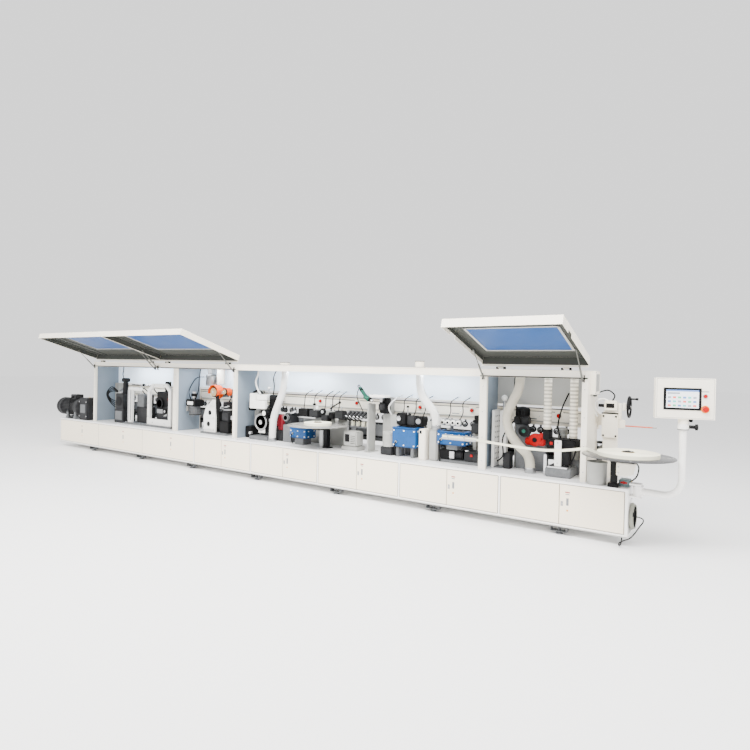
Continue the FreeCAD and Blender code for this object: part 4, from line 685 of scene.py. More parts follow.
# ---- pressure beam ------------------------------------------------------------------------
beam = Piece("beam_trim", "pressure_beam")
# painted shade: a black strip along the top of the beam face stands in for the shaded gap there
beam.box(RUBBER, -9298, -402, 595.6, 598.4, 1181, 1188, 0.8)
beam.box(MIDGREY, -9298, -402, 595.4, 598.4, 1067, 1079, 0.8)
for k in range(19):
    x = -9180.0 + 480.0 * k
    beam.bolt(STEEL, (x, 598, 1130), (0, -1, 0), 6.0, 3.6)
for x in ESTOPS:
    beam.box(IVORY, x - 36, x + 36, 590.5, BEAM_FACE, ESTOP_Z - 36, ESTOP_Z + 36, 6.0)
    beam.pipe(BLACK, (x, 591, ESTOP_Z), (x, 585.5, ESTOP_Z), 25.5, 21.2)
    beam.box(IVORY, x - 44, x + 44, 594, BEAM_FACE, ESTOP_Z - 43, ESTOP_Z + 43, 4.0)
for k in range(9):
    x = -8700.0 + 950.0 * k
    beam.box(ALU, x - 50, x + 50, 594.6, BEAM_FACE, 1092, 1104, 1.0)
beam.wire(BLACK, [(-9200, 640, 1216), (-7000, 640, 1217), (-4800, 640, 1216), (-2500, 640, 1217),
                  (-700, 640, 1216)], 6.0, 8, 4)
beam.done()

wheels = Piece("pressure_wheel_set", "pressure_beam", ("pressure_wheels",))
for k in range(int((8900 - 2 * WHEEL_PITCH) / WHEEL_PITCH)):
    x = -9300.0 + WHEEL_PITCH * (k + 1)
    y = 598.0 + (28.0 if k % 2 else 62.0)
    wheels.lathe(RUBBER, (x, y, WHEEL_Z), (x, y + 26, WHEEL_Z),
                 [(0.0, 26.0), (0.6, 35.5), (3.0, 37.0), (23.0, 37.0), (25.4, 35.5), (26.0, 26.0)], 28)
    wheels.lathe(ALU, (x, y - 0.6, WHEEL_Z), (x, y + 6, WHEEL_Z),
                 [(0.0, 24.5), (1.2, 26.0), (2.0, 26.0)], 24)
    wheels.lathe(DARKGREY, (x, y - 1.0, WHEEL_Z), (x, y + 5, WHEEL_Z), [(0.0, 13.0), (0.6, 14.5)], 20)
    wheels.hexnut(STEEL, (x, y - 0.8, WHEEL_Z), (0, -1, 0), 8.5, 5.0)
    wheels.box(CASTGREY, x - 12, x + 12, y + 26.2, y + 34, 964, 1032, 2.0)
    wheels.cyl(STEEL, (x, y + 20, WHEEL_Z), (x, y + 37, WHEEL_Z), 7.0, 1.0, 12)
wheels.done()

# ---- feed chain ---------------------------------------------------------------------------
chain = Piece("feed_chain_pads", hides=("feed_chain",))
pitch = (SPROCKETS[1] - SPROCKETS[0]) / CHAIN_PADS
for k in range(CHAIN_PADS):
    x = SPROCKETS[0] + pitch * (k + 0.5)
    for link, pad in (((877, 891), (890, 899.9)), ((709, 723), (700.1, 710))):
        chain.box(DARKGREY, x - pitch / 2 + 1.5, x + pitch / 2 - 1.5, 616, 694, *link, 2.0)
        chain.box(RUBBER, x - pitch / 2 + 3, x + pitch / 2 - 3, 618, 692, *pad, 2.5)
    chain.cyl(STEEL, (x - pitch / 2, 615.6, 884), (x - pitch / 2, 694.4, 884), 5.0, 0.8, 10)
for side, cx in zip((-1, 1), SPROCKETS):
    for k in range(5):
        a = math.radians(-72 + 36 * k)
        centre = Vector((cx + side * CHAIN_R * math.cos(a), 655, CHAIN_Z + CHAIN_R * math.sin(a)))
        chain.place = Matrix.Translation(centre) @ Matrix.Rotation(-side * a, 4, "Y")
        chain.box(DARKGREY, -11, 5, -39, 39, -25, 25, 2.0)
        chain.box(RUBBER, *((4, 11.4) if side > 0 else (-11.4, -4)), -37, 37, -24, 24, 2.0)
chain.done()

# ---- left hood: corner rounding, buffing -----------------------------------------------------
corner = Piece("corner_rounding_set", hides=("corner_rounding_unit",))
outer = [(-7760.0, 575.0), (-7110.0, 575.0), (-7110.0, 1190.0), (-7235.0, 1296.0), (-7620.0, 1296.0),
         (-7760.0, 1180.0)]
inner = [(-7690.0, 680.0), (-7180.0, 680.0), (-7180.0, 1165.0), (-7262.0, 1232.0), (-7592.0, 1232.0),
         (-7690.0, 1150.0)]
for k in range(6):
    n = (k + 1) % 6
    corner.plate(WHITE, [outer[k], outer[n], inner[n], inner[k]], "Y", 240, 290, 5.0)
for x, z in ((-7725, 720), (-7725, 950), (-7145, 760), (-7145, 1040), (-7560, 1264), (-7300, 1264),
             (-7600, 620), (-7270, 620)):
    corner.bolt(STEEL, (x, 241, z), (0, -1, 0), 11.0, 8.0)
corner.box(WHITE, -8330, -8215, 240, 290, 575, 1205, 8)
corner.box(WHITE, -8215, -7960, 240, 290, 1150, 1205, 8)
corner.box(STEEL, -8316, -8300, 226, 240, 620, 1160, 2)
corner.box(STEEL, -8250, -8234, 226, 240, 620, 1160, 2)
corner.box(CASTGREY, -8400, -7060, 200, 490, DECK_TOP, 575, 4)
for k in range(7):
    corner.bolt(STEEL, (-8360 + 205 * k, 225, 575), (0, 0, 1), 10, 8)
corner.box(DARKGREY, -7640, -7230, 340, 480, 575, 900, 10)
corner.box(BLACK, -7610, -7300, 322, 470, 900, 1150, 12)
corner.motor((-7500, 330, 950), (-7500, 296, 950), 90, DARKGREY, 14)
corner.motor((-7400, 400, 1150), (-7400, 400, 1330), 52, BLACK, 16)
corner.box(ALU, -7580, -7420, 308, 322, 780, 850, 4)
corner.cyl(STEEL, (-7560, 400, 700), (-7320, 330, 760), 22, 3)
corner.cyl(BLACK, (-7350, 322, 820), (-7350, 300, 820), 46, 4)
corner.cyl(STEEL, (-7350, 302, 820), (-7350, 292, 820), 20, 2)
corner.box(RED, -7290, -7250, 312, 340, 1010, 1050, 4)
corner.wire(BLACK, [(-7610, 330, 1120), (-7650, 300, 1200), (-7560, 310, 1260), (-7440, 340, 1240),
                    (-7380, 360, 1180)], 9)
corner.wire(BLACK, [(-7230, 380, 1000), (-7190, 330, 1100), (-7240, 320, 1190), (-7340, 350, 1220)], 8)
corner.box(DARKGREY, -8200, -7860, 330, 480, 575, 860, 10)
corner.box(CASTGREY, -8180, -7980, 322, 460, 860, 1080, 8)
corner.motor((-7900, 400, 860), (-7900, 400, 1080), 60, DARKGREY, 16)
corner.cyl(STEEL, (-8380, 350, 1250), (-7720, 350, 1250), 9, 1.5, 16)
corner.cyl(BLACK, (-8040, 350, 1250), (-8008, 350, 1250), 26, 6)
corner.cyl(STEEL, (-8100, 350, 1080), (-8100, 350, 1245), 12, 2, 16)
corner.wire(BLACK, [(-8050, 400, 1080), (-8060, 340, 1160), (-7980, 330, 1190), (-7900, 370, 1110)], 9)
corner.box(BLACK, -7050, -6900, 250, 480, DECK_TOP, 820, 10)
corner.box(DARKGREY, -7040, -6910, 270, 480, 820, 1150, 12)
corner.motor((-6995, 340, 1150), (-6995, 340, 1300), 56, BLACK, 16)
corner.box(MIDGREY, -6960, -6902, 286, 330, 1040, 1100, 4)
corner.cyl(RED, (-6930, 286, 1072), (-6930, 262, 1072), 16, 4)
corner.box(DARKGREY, -8720, -8440, 220, 470, DECK_TOP, 800, 8)
corner.box(CASTGREY, -8690, -8480, 215, 226, 600, 760, 4)
corner.box(DARKGREY, -8700, -8460, 230, 460, 800, 1080, 10)
corner.motor((-8590, 232, 940), (-8590, 222, 940), 84, DARKGREY, 12)
corner.cyl(ALU, (-8590, 240, 1080), (-8590, 330, 1150), 40, 6)
corner.box(BLACK, -8540, -8450, 270, 330, 1080, 1290, 8)
corner.box(BLACK, -8560, -8430, 250, 350, 1290, 1365, 12)
for k in range(4):
    corner.wire(RUBBER, [(-8720 + 20 * k, 300, 780 + 40 * k), (-8900 - 25 * k, 250 + 20 * k, 900 + 20 * k),
                         (-9010 + 20 * k, 240, 1060), (-8900 + 20 * k, 280, 1190 - 25 * k),
                         (-8700, 330, 1070)], 8)
corner.wire(RUBBER, [(-8520, 300, 1290), (-8640, 330, 1420), (-8760, 420, 1520), (-8900, 500, 1636)], 8)
corner.box(BLACK, -8900, -8760, 420, 520, DECK_TOP, 700, 6)
corner.box(STEEL, -8300, -8200, 300, 320, 980, 1010, 3)
corner.done()

buff = Piece("buffing_set", hides=("buffing_unit",))
buff.plate(WHITE, [(-6250, 575), (-5985, 575), (-5985, 1088), (-6060, 1088), (-6215, 950),
                   (-6262, 820)], "Y", 230, 262, 4)
for x, z in ((-6140, 700), (-6110, 880)):
    buff.cyl(BLACK, (x, 229, z), (x, 233, z), 40, 1.0)
    buff.pipe(WHITE, (x, 226, z), (x, 232, z), 48, 40)
for z in (620, 800, 980):
    buff.box(WHITE, -6240 + (z - 620) * 0.25, -6000, 205, 230, z, z + 14, 3)
buff.box(CASTGREY, -6300, -5700, 200, 470, DECK_TOP, 575, 4)
buff.box(DARKGREY, -6240, -6000, 262, 420, 575, 900, 10)
buff.box(BLACK, -5920, -5710, 260, 440, 575, 760, 8)
buff.box(DARKGREY, -5900, -5730, 280, 430, 760, 900, 12)
buff.motor((-5820, 350, 900), (-5820, 350, 1060), 80, DARKGREY, 20)
buff.pipe(ALU, (-5820, 350, 930), (-5820, 350, 952), 88, 80)
buff.cyl(STEEL, (-5930, 300, 960), (-5720, 270, 1000), 12, 2, 16)
buff.box(BLACK, -6750, -6500, 260, 440, 950, 1062, 12)
buff.box(WHITE, -6700, -6560, 256, 262, 975, 1030, 2)
buff.motor((-6625, 350, 950), (-6625, 350, 800), 95, CASTGREY, 22)
buff.box(MIDGREY, -6785, -6750, 300, 400, 860, 1060, 5)
buff.cyl(STEEL, (-6650, 350, 1062), (-6650, 350, 1190), 28, 4)
buff.cyl(BLACK, (-6650, 350, 1110), (-6650, 350, 1160), 45, 8)
buff.motor((-6380, 480, 1290), (-6380, 480, 1480), 92, ALU, 24)
buff.box(ALU, -6430, -6330, 430, 530, 1480, 1638, 6)
buff.cyl(STEEL, (-6380, 480, 1170), (-6380, 480, 1290), 30, 4)
for x, z, r in ((-6080, 1205, 112), (-5835, 1215, 62)):
    buff.cyl(BLACK, (x, 276, z), (x, 340, z), r * 0.72, 6)
    buff.cyl(CORE, (x, 262, z), (x, 282, z), r * 0.6, 5)
    buff.cyl(STEEL, (x, 254, z), (x, 264, z), r * 0.16, 2, 16)
    verts, faces, n = [], [], 24
    for y in (250.0 if r > 80 else 286.0, 380.0):
        for rr in (r - 7.0, float(r)):
            for k in range(n + 1):
                a = math.radians(-35 + 230.0 * k / n)
                verts.append((x + rr * math.cos(a), y, z + rr * math.sin(a)))
    m = n + 1
    for k in range(n):
        for a0, b0 in ((0, 1), (2, 3), (0, 2), (1, 3)):
            faces.append((a0 * m + k, a0 * m + k + 1, b0 * m + k + 1, b0 * m + k))
    for k in (0, n):
        faces.append((k, m + k, 3 * m + k, 2 * m + k))
    buff.add(verts, faces, ORANGE)
    buff.cyl(ORANGE, (x, 372, z), (x, 380, z), r, 3)
    buff.motor((x, 380, z), (x, 500, z), r * 0.62, DARKGREY, 16)
buff.box(CASTGREY, -6120, -6040, 400, 560, 1120, 1180, 5)
buff.box(CASTGREY, -5850, -5800, 400, 560, 1120, 1180, 5)
buff.box(STEEL, -6000, -5900, 300, 330, 1180, 1230, 4)
buff.plate(BLACK, [(-6010, 1060), (-5960, 1130), (-5900, 1100), (-5890, 960), (-5930, 900),
                   (-5965, 980)], "Y", 240, 250, 3)
buff.wire(RUBBER, [(-6000, 280, 1150), (-5960, 250, 1040), (-5955, 260, 860), (-5960, 300, 640)], 26, 14)
buff.wire(RUBBER, [(-5790, 330, 1060), (-5700, 320, 1160), (-5640, 360, 1330), (-5640, 470, 1636)], 8)
buff.wire(RUBBER, [(-6560, 300, 1062), (-6480, 300, 1220), (-6560, 380, 1440), (-6600, 460, 1630)], 8)
buff.wire(RUBBER, [(-6690, 320, 1062), (-6740, 320, 1200), (-6700, 420, 1400), (-6690, WALL, 1430)], 7)
buff.box(BLACK, -5640, -5560, 300, 420, DECK_TOP, 760, 6)
buff.box(STEEL, -5700, -5560, 290, 300, 790, 850, 3)
buff.done()

# ---- middle bay: end trim, profile trim ---------------------------------------------------
trim = Piece("end_trim_set", hides=("end_trim_unit",))
trim.box(CASTGREY, -5200, -4830, 200, 490, DECK_TOP, 600, 6)
trim.box(DARKGREY, -5130, -4900, 360, 480, 600, 1000, 10)
trim.box(WHITE, -5245, -5160, 240, 400, 1000, 1224, 8)
trim.box(WHITE, -5160, -4935, 240, 300, 1000, 1120, 8)
trim.box(WHITE, -5160, -4960, 300, 470, 1120, 1210, 8)
trim.motor((-4870, 390, 1000), (-4870, 390, 1210), 80, BLACK, 20)
trim.box(WHITE, -5110, -4980, 300, 312, 640, 760, 6)
trim.motor((-5060, 340, 800), (-5060, 300, 800), 120, BLACK, 20)
trim.pipe(ALU, (-5060, 300, 800), (-5060, 290, 800), 126, 100)
trim.cyl(STEEL, (-5060, 300, 800), (-5060, 284, 800), 34, 3)
trim.cyl(BLACK, (-4945, 240, 940), (-4945, 360, 940), 55, 8)
trim.cyl(WHITE, (-4945, 236, 940), (-4945, 242, 940), 34, 2)
trim.cyl(STEEL, (-5000, 400, 1210), (-5000, 400, 1300), 12, 2, 16)
trim.lathe(WHITE, (-5000, 400, 1290), (-5000, 400, 1330),
           [(0, 10), (6, 22), (18, 27), (32, 20), (38, 8)], 24)
trim.box(BLACK, -5330, -5250, 300, 400, 960, 1090, 8)
trim.box(BLACK, -5252, -5244, 300, 400, 1000, 1060, 2)
for k in range(12):
    turn = 200 - 15 * k
    dx, dz = on_circle(130, turn)
    trim.box(BLACK, dx - 5184, dx - 5156, 320, 352, 1118 + dz, 1142 + dz, 3, ("Y", -turn))
trim.lathe(DARKRED, (-4720, 400, 700), (-4720, 400, 930),
           [(0, 50), (10, 62), (60, 62), (64, 66), (76, 66), (80, 60), (200, 60), (214, 50), (230, 28)],
           32)
trim.box(DARKRED, -4770, -4700, 330, 345, 760, 880, 5)
trim.box(DARKGREY, -4790, -4650, 330, 470, DECK_TOP, 700, 8)
hose_socket(trim, -4760, 235, DECK_TOP, 590, 60, 14)
trim.wire(HOSEWHITE, [(-5160, 330, 1640), (-5150, 320, 1520), (-5180, 300, 1400), (-5130, 290, 1290),
                      (-5080, 300, 1215)], 13, 12)
trim.wire(RUBBER, [(-4900, 380, 1210), (-4860, 360, 1330), (-4930, 420, 1480), (-4900, 500, 1637)], 8)
trim.wire(RUBBER, [(-4990, 300, 960), (-4890, 270, 860), (-4850, 270, 720), (-4900, 300, 610)], 9)
trim.box(STEEL, -4900, -4800, 300, 340, 820, 860, 4)
trim.cyl(STEEL, (-5180, 240, 640), (-5180, 190, 640), 22, 4)
trim.box(BLACK, -5390, -5260, 300, 480, DECK_TOP, 720, 8)
trim.done()

prof = Piece("profile_trim_set", hides=("profile_trim_unit",))
prof.box(CASTGREY, -4620, -4460, 300, 480, DECK_TOP, 800, 8)
prof.box(DARKGREY, -4610, -4470, 320, 480, 800, 960, 10)
prof.motor((-4540, 300, 900), (-4540, 262, 900), 48, ALU, 14)
prof.cyl(STEEL, (-4500, 330, 960), (-4400, 330, 1000), 18, 3)
prof.box(MIDGREY, -4440, -4060, 535, 580, DECK_TOP, 1040, 6)
prof.box(BLACK, -4430, -4250, 400, 535, 920, 1035, 10)
prof.box(DARKGREY, -4240, -4080, 420, 535, 920, 1020, 10)
prof.cyl(STEEL, (-4150, 430, 1020), (-4150, 430, 1100), 8, 2, 16)
prof.lathe(BLACK, (-4150, 430, 1092), (-4150, 430, 1122), [(0, 12), (4, 22), (22, 22), (28, 12)], 24)
prof.cyl(WHITE, (-4080, 410, 1045), (-4080, 410, 1085), 20, 5)
prof.cyl(BLACK, (-4000, 425, 1010), (-4000, 455, 1010), 48, 5)
prof.cyl(STEEL, (-4000, 420, 1010), (-4000, 428, 1010), 22, 2)
prof.box(MIDGREY, -4040, -3640, 540, 580, DECK_TOP, 1020, 6)
prof.box(DARKGREY, -4030, -3920, 430, 540, 880, 960, 8)
prof.box(BLACK, -3910, -3820, 440, 540, 920, 1010, 10)
prof.box(DARKGREY, -3800, -3650, 440, 540, 920, 1040, 10)
prof.cyl(BLACK, (-3860, 420, 1060), (-3720, 440, 1150), 10, 2, 16)
prof.lathe(BLACK, (-3718, 440, 1150), (-3706, 442, 1158), [(0, 10), (4, 20), (16, 20), (20, 10)], 20)
prof.cyl(STEEL, (-3700, 470, 1040), (-3700, 470, 1095), 12, 2, 16)
prof.box(MIDGREY, -3500, -3290, 250, 420, 600, 795, 14)
prof.box(MIDGREY, -3520, -3270, 240, 430, DECK_TOP, 600, 6)
prof.box(BLACK, -3470, -3400, 244, 252, 660, 760, 4)
for k in range(5):
    prof.box(BLACK, -3380, -3310, 247, 251, 640 + 24 * k, 646 + 24 * k, 1)
for k in range(4):
    x = -3500.0 + 84.0 * k
    prof.lathe(TAPE, (x, 470, 850), (x, 470, 915), [(0, 22), (3, 26), (62, 26), (65, 22)], 28)
    prof.cyl(STEEL, (x, 470, 915), (x, 470, 926), 9, 2, 12)
prof.box(CASTGREY, -3540, -3210, 440, 500, 830, 850, 4)
prof.box(CASTGREY, -3500, -3440, 450, 490, DECK_TOP, 830, 4)
for k in range(5):
    x = -3560.0 + 62.0 * k
    prof.cyl(DARKGREY, (x, 380, 960), (x + 60, 420, 1050), 20, 4)
    prof.cyl(STEEL, (x + 8, 384, 972), (x + 14, 388, 981), 27, 2, 24)
    prof.cyl(RUBBER, (x - 10, 372, 930), (x - 2, 378, 948), 30, 4, 24)
prof.box(ALU, -3580, -3260, 430, 450, 1010, 1060, 4)
prof.box(ALU, -3580, -3550, 440, 500, 560, 1010, 4)
for x in (-4360, -4180, -3980, -3860, -3740):
    prof.wire(RUBBER, [(x, 450, 1030), (x + 40, 420, 1120), (x + 10, 480, 1230), (x + 50, WALL, 1300)], 6)
prof.box(STEEL, -4430, -4100, 395, 402, 905, 925, 2)
prof.box(STEEL, -3770, -3720, 424, 440, 860, 930, 3)
prof.done()

gun = Piece("hot_air_gun_set", hides=("hot_air_gun",))
gun.cyl(GREEN, (-3300, 330, 1372), (-3205, 330, 1262), 24, 6)
gun.cyl(BLACK, (-3286, 330, 1356), (-3270, 330, 1337), 25.5, 2)
gun.cyl(GREEN, (-3225, 330, 1262), (-3150, 330, 1229), 32, 7)
gun.cyl(BLACK, (-3150, 330, 1229), (-3126, 330, 1218), 30, 3)
gun.cyl(STEEL, (-3128, 330, 1219), (-3095, 330, 1205), 17, 3)
gun.pipe(BLACK, (-3318, 324, 1392), (-3318, 336, 1392), 22, 12)
gun.box(STEEL, -3140, -3126, 290, 370, 1169, 1176, 2)
gun.wire(RUBBER, [(-3318, 330, 1370), (-3360, 350, 1250), (-3330, 400, 1120), (-3300, 440, 1012)], 6)
gun.done()

# ---- glue section ----------------------------------------------------------------------------
glue = Piece("glue_set", hides=("glue_units",))
glue.box(MIDGREY, -3142, -3122, 275, 450, DECK_TOP, 1169, 5)
glue.box(MIDGREY, -3180, -3080, 260, 470, DECK_TOP, 555, 2)
glue.box(BLACK, -3146, -3141, 290, 430, 900, 1120, 4)
glue.box(WHITE, -3085, -2865, 230, 400, 1262, 1294, 6)
glue.bolt(STEEL, (-3060, 260, 1294), (0, 0, 1), 8, 6)
glue.bolt(STEEL, (-2890, 260, 1294), (0, 0, 1), 8, 6)
glue.box(BLACK, -3040, -2900, 400, 470, 1050, 1255, 10)
glue.box(DARKGREY, -3040, -2930, 470, 499, 1080, 1200, 4)
glue.box(STEEL, -3000, -2960, 340, 400, 1200, 1262, 4)
glue.box(DARKGREY, -3010, -2940, 330, 398, 1100, 1180, 6)
glue.lathe(MIDGREY, (-2820, 320, 650), (-2820, 320, 838),
           [(0, 78), (5, 86), (30, 86), (34, 82), (150, 82), (154, 88), (184, 88), (188, 76)], 36)
glue.box(DARKGREY, -2910, -2740, 240, 420, DECK_TOP, 650, 8)
glue.box(MIDGREY, -2890, -2760, 430, 490, DECK_TOP, 1040, 6)
glue.box(BLACK, -2740, -2600, 330, 480, 930, 1080, 12)
glue.box(DARKGREY, -2595, -2480, 350, 480, 930, 1050, 10)
glue.box(BLACK, -2470, -2360, 330, 480, 930, 1050, 12)
glue.cyl(STEEL, (-2600, 380, 1060), (-2600, 380, 1150), 7, 1.5, 16)
glue.lathe(BLACK, (-2600, 380, 1146), (-2600, 380, 1172), [(0, 8), (4, 18), (20, 18), (26, 8)], 20)
glue.box(CASTGREY, -2660, -2600, 430, 480, DECK_TOP, 930, 4)
glue.box(CASTGREY, -2440, -2400, 430, 480, DECK_TOP, 930, 4)
glue.cyl(STEEL, (-2700, 322, 1010), (-2700, 334, 1010), 30, 3)
glue.cyl(ALU, (-2420, 320, 990), (-2420, 334, 990), 34, 3)
glue.box(IVORY, -2340, -2252, 200, 480, DECK_TOP, 915, 8)
glue.box(BLACK, -2330, -2300, 198.6, 201, 860, 900, 0.6)
glue.box(MIDGREY, -2300, -2230, 330, 470, 915, 1000, 8)
glue.box(MIDGREY, -2225, -2115, 240, 360, DECK_TOP, 915, 14)
hose_socket(glue, -2160, 300, 915, 955, 58, 13)
glue.box(CASTGREY, -2095, -1580, 250, 470, DECK_TOP, 580, 6)
glue.box(BLACK, -2085, -1960, 256, 440, 580, 700, 10)
glue.motor((-1930, 330, 640), (-1800, 330, 640), 58, DARKGREY, 18)
glue.box(DARKGREY, -1780, -1590, 262, 450, 580, 690, 10)
glue.box(STEEL, -1960, -1900, 252, 280, 600, 680, 4)
glue.box(RED, -1700, -1670, 252, 262, 640, 670, 3)
glue.box(MIDGREY, -2080, -2040, 420, 470, 700, 930, 5)
glue.box(MIDGREY, -1740, -1700, 420, 470, 700, 1000, 5)
glue.box(DARKGREY, -1730, -1590, 330, 420, 900, 1020, 10)
glue.motor((-1660, 374, 1020), (-1660, 374, 1110), 44, BLACK, 14)
glue.box(ALU, -1980, -1560, 100, 130, 846, 890, 3)
glue.box(ALU, -1980, -1560, 80, 100, 838, 846, 2)
glue.box(STEEL, -1980, -1560, 80, 84, 846, 862, 1)
for k in range(5):
    glue.cyl(STEEL, (-1940 + 84 * k, 104, 890), (-1940 + 84 * k, 104, 900), 9, 2, 16)
glue.box(MIDGREY, -1640, -1600, 130, 330, 850, 880, 4)
glue.box(MIDGREY, -1640, -1600, 330, 420, 700, 880, 4)
glue.box(ALU, -2150, -1890, 420, 440, 960, 1040, 4)
for k in range(4):
    x = -2124.0 + 68.0 * k
    glue.lathe(WHITE, (x, 384, 1000), (x, 420, 1000), [(0, 25), (2, 31), (30, 31), (34, 25)], 28)
    glue.cyl(BLACK, (x, 380, 1000), (x, 386, 1000), 15, 2, 20)
glue.box(CASTGREY, -2040, -2010, 430, 470, 580, 962, 4)
for x in (-2700, -2530, -2400, -2060, -1900, -1660):
    glue.wire(RUBBER, [(x, 400, 1040), (x + 46, 380, 1130), (x + 16, 450, 1240), (x + 50, WALL, 1300)], 6)
glue.wire(HOSEWHITE, [(-2860, 420, 1040), (-2880, 380, 1140), (-2820, 430, 1240), (-2800, WALL, 1290)],
          9, 10)
glue.done()

tanks = Piece("blue_glue_tanks", hides=("glue_tanks",))
for x0, x1, y0, y1, z0, z1 in ((-4400, -4100, 200, 420, 640, 780), (-2720, -2385, 210, 420, 673, 915),
                               (-2110, -1750, 215, 415, 757, 913)):
    tanks.box(BLUE, x0, x1, y0, y1, z0, z1 - 14, 8)
    tanks.box(BLUE, x0 - 4, x1 + 4, y0 - 4, y1, z1 - 14, z1, 4)
    tanks.box(BLACK, x0 + 40, x1 - 40, y0 + 40, y1 - 40, z1 - 1, z1 + 2.5, 1)
    tanks.bolts(WHITE, (x0 + 26, (x0 + x1) / 2, x1 - 26), y0, (z0 + 26, z1 - 40), (0, -1, 0), 9, 7)
    tanks.bolts(WHITE, x1, (y0 + 50, y1 - 50), (z0 + 26, z1 - 40), (1, 0, 0), 9, 7)
    tanks.cyl(ALU, (x0 + 60, y0 - 14, z0 + 60), (x0 + 60, y0 + 2, z0 + 60), 16, 3, 20)
    tanks.wire(RUBBER, [(x0 + 60, y0 - 12, z0 + 60), (x0 + 56, y0 - 30, z0 + 20),
                        (x0 + 40, y0 + 20, 556)], 7)
tanks.box(CASTGREY, -4330, -4170, 230, 400, DECK_TOP, 640, 6)
for x in (-2680, -2470):
    tanks.box(CASTGREY, x, x + 40, 240, 400, DECK_TOP, 673, 4)
tanks.box(CASTGREY, -2000, -1860, 250, 400, 700, 757, 5)
tanks.done()

# ---- right hood: premill ------------------------------------------------------------------
mill = Piece("premill_set", hides=("premill_unit",))
mill.box(WHITE, -1466, -1436, 300, 490, DECK_TOP, 1191, 5)
for k in range(9):
    for y in (350, 400, 450):
        mill.cyl(BLACK, (-1437, y, 640 + 60 * k), (-1435.2, y, 640 + 60 * k), 10, 0.4, 16)
mill.box(CASTGREY, -1436, -1340, 300, 470, DECK_TOP, 560, 4)
mill.box(WHITE, -1420, -1340, 420, 490, 560, 1180, 6)
mill.cyl(STEEL, (-1380, 455, 1180), (-1380, 455, 1300), 16, 3, 20)
mill.lathe(WHITE, (-1380, 455, 1288), (-1380, 455, 1360),
           [(0, 12), (10, 28), (34, 35), (56, 28), (70, 8)], 28)
mill.motor((-1165, 455, 1130), (-1165, 455, 1215), 80, BLACK, 22)
mill.lathe(DARKGREY, (-1165, 455, 1214), (-1165, 455, 1240), [(0, 78), (10, 66), (20, 40), (25, 10)], 32)
mill.box(DARKGREY, -1250, -1080, 400, 500, 1040, 1130, 12)
mill.box(CASTGREY, -1230, -1100, 420, 500, DECK_TOP, 1040, 8)
mill.motor((-1100, 398, 980), (-1100, 305, 980), 62, DARKGREY, 18)
mill.cyl(BLACK, (-1100, 306, 980), (-1100, 298, 980), 52, 3)
mill.cyl(GREEN, (-1100, 298, 980), (-1100, 292, 980), 20, 2)
mill.box(MIDGREY, -1250, -1240, 440, 490, DECK_TOP, 1040, 3)
mill.box(RED, -1100, -880, 340, 392, 830, 910, 14)
mill.plate(RED, [(-1060, 910), (-880, 910), (-880, 968), (-930, 968)], "Y", 340, 392, 6)
mill.cyl(RED, (-990, 336, 890), (-990, 392, 890), 70, 8)
mill.cyl(BLACK, (-990, 332, 890), (-990, 340, 890), 26, 3)
mill.box(CASTGREY, -1100, -880, 392, 500, DECK_TOP, 905, 8)
mill.box(CASTGREY, -820, -560, 150, 420, DECK_TOP, 640, 8)
mill.box(STEEL, -800, -600, 160, 400, 640, 655, 3)
mill.box(WHITE, -738, -670, 190, 215, 655, 925, 5)
mill.bolt(STEEL, (-704, 190, 900), (0, -1, 0), 8, 6)
mill.bolt(STEEL, (-704, 190, 690), (0, -1, 0), 8, 6)
mill.box(BLACK, -820, -540, 240, 420, 836, 930, 12)
mill.box(DARKGREY, -760, -620, 300, 420, 655, 836, 8)
mill.motor((-735, 490, 700), (-735, 490, 1030), 50, MIDGREY, 16)
mill.motor((-610, 490, 700), (-610, 490, 900), 50, MIDGREY, 16)
mill.box(CASTGREY, -800, -545, 425, 560, DECK_TOP, 700, 6)
hose_socket(mill, -1000, 240, DECK_TOP, 590, 60, 14)
for x, z in ((-860, 1010), (-590, 935)):
    for k in range(int((1632 - z) / 40)):
        mill.pipe(HOSEBEIGE, (x, 350, z + 12 + 40 * k), (x, 350, z + 30 + 40 * k), 43, 40.2, 28)
    mill.pipe(BLACK, (x, 350, z - 1), (x, 350, z + 8), 46, 40.3)
mill.box(BLACK, -900, -820, 320, 430, 905, 1008, 8)
mill.box(DARKGREY, -1330, -1250, 300, 420, DECK_TOP, 720, 8)
mill.wire(RUBBER, [(-1165, 400, 1060), (-1190, 340, 1200), (-1240, 380, 1380), (-1260, 460, 1636)], 8)
mill.wire(RUBBER, [(-700, 300, 930), (-730, 280, 1060), (-720, 380, 1240), (-700, WALL, 1400)], 8)
mill.wire(RUBBER, [(-640, 260, 640), (-560, 230, 740), (-540, 240, 860), (-600, 260, 930)], 8)
mill.wire(RUBBER, [(-1400, 320, 620), (-1320, 280, 700), (-1330, 300, 900), (-1252, 440, 1080)], 8)
mill.box(STEEL, -860, -830, 240, 260, 560, 760, 3)
mill.box(RED, -800, -770, 236, 242, 868, 898, 2)
mill.done()

# ---- drive motor --------------------------------------------------------------------------
drive = Piece("drive_motor_set", hides=("drive_motor",))
drive.cyl(STEEL, (-9470, 322, 800), (-9470, 705, 800), 18, 3)
drive.lathe(CASTGREY, (-9470, 619, 800), (-9470, 691, 800), [(0, 70), (3, 74), (69, 74), (72, 70)], 40)
drive.motor((-9700, 175, 770), (-10390, 175, 770), 168, DARKGREY, 36)
drive.lathe(DARKGREY, (-9620, 175, 770), (-9700, 175, 770),
            [(0, 180), (4, 186), (40, 186), (46, 178), (80, 172)], 40)
for k in range(8):
    dy, dz = on_circle(160, 22.5 + 45 * k)
    drive.hexnut(STEEL, (-9664, 175 + dy, 770 + dz), (-1, 0, 0), 11, 10)
drive.box(DARKGREY, -10010, -9810, 100, 250, 920, 1010, 10)
drive.bolts(STEEL, (-9990, -9830), (118, 232), 1009, (0, 0, 1), 7, 5)
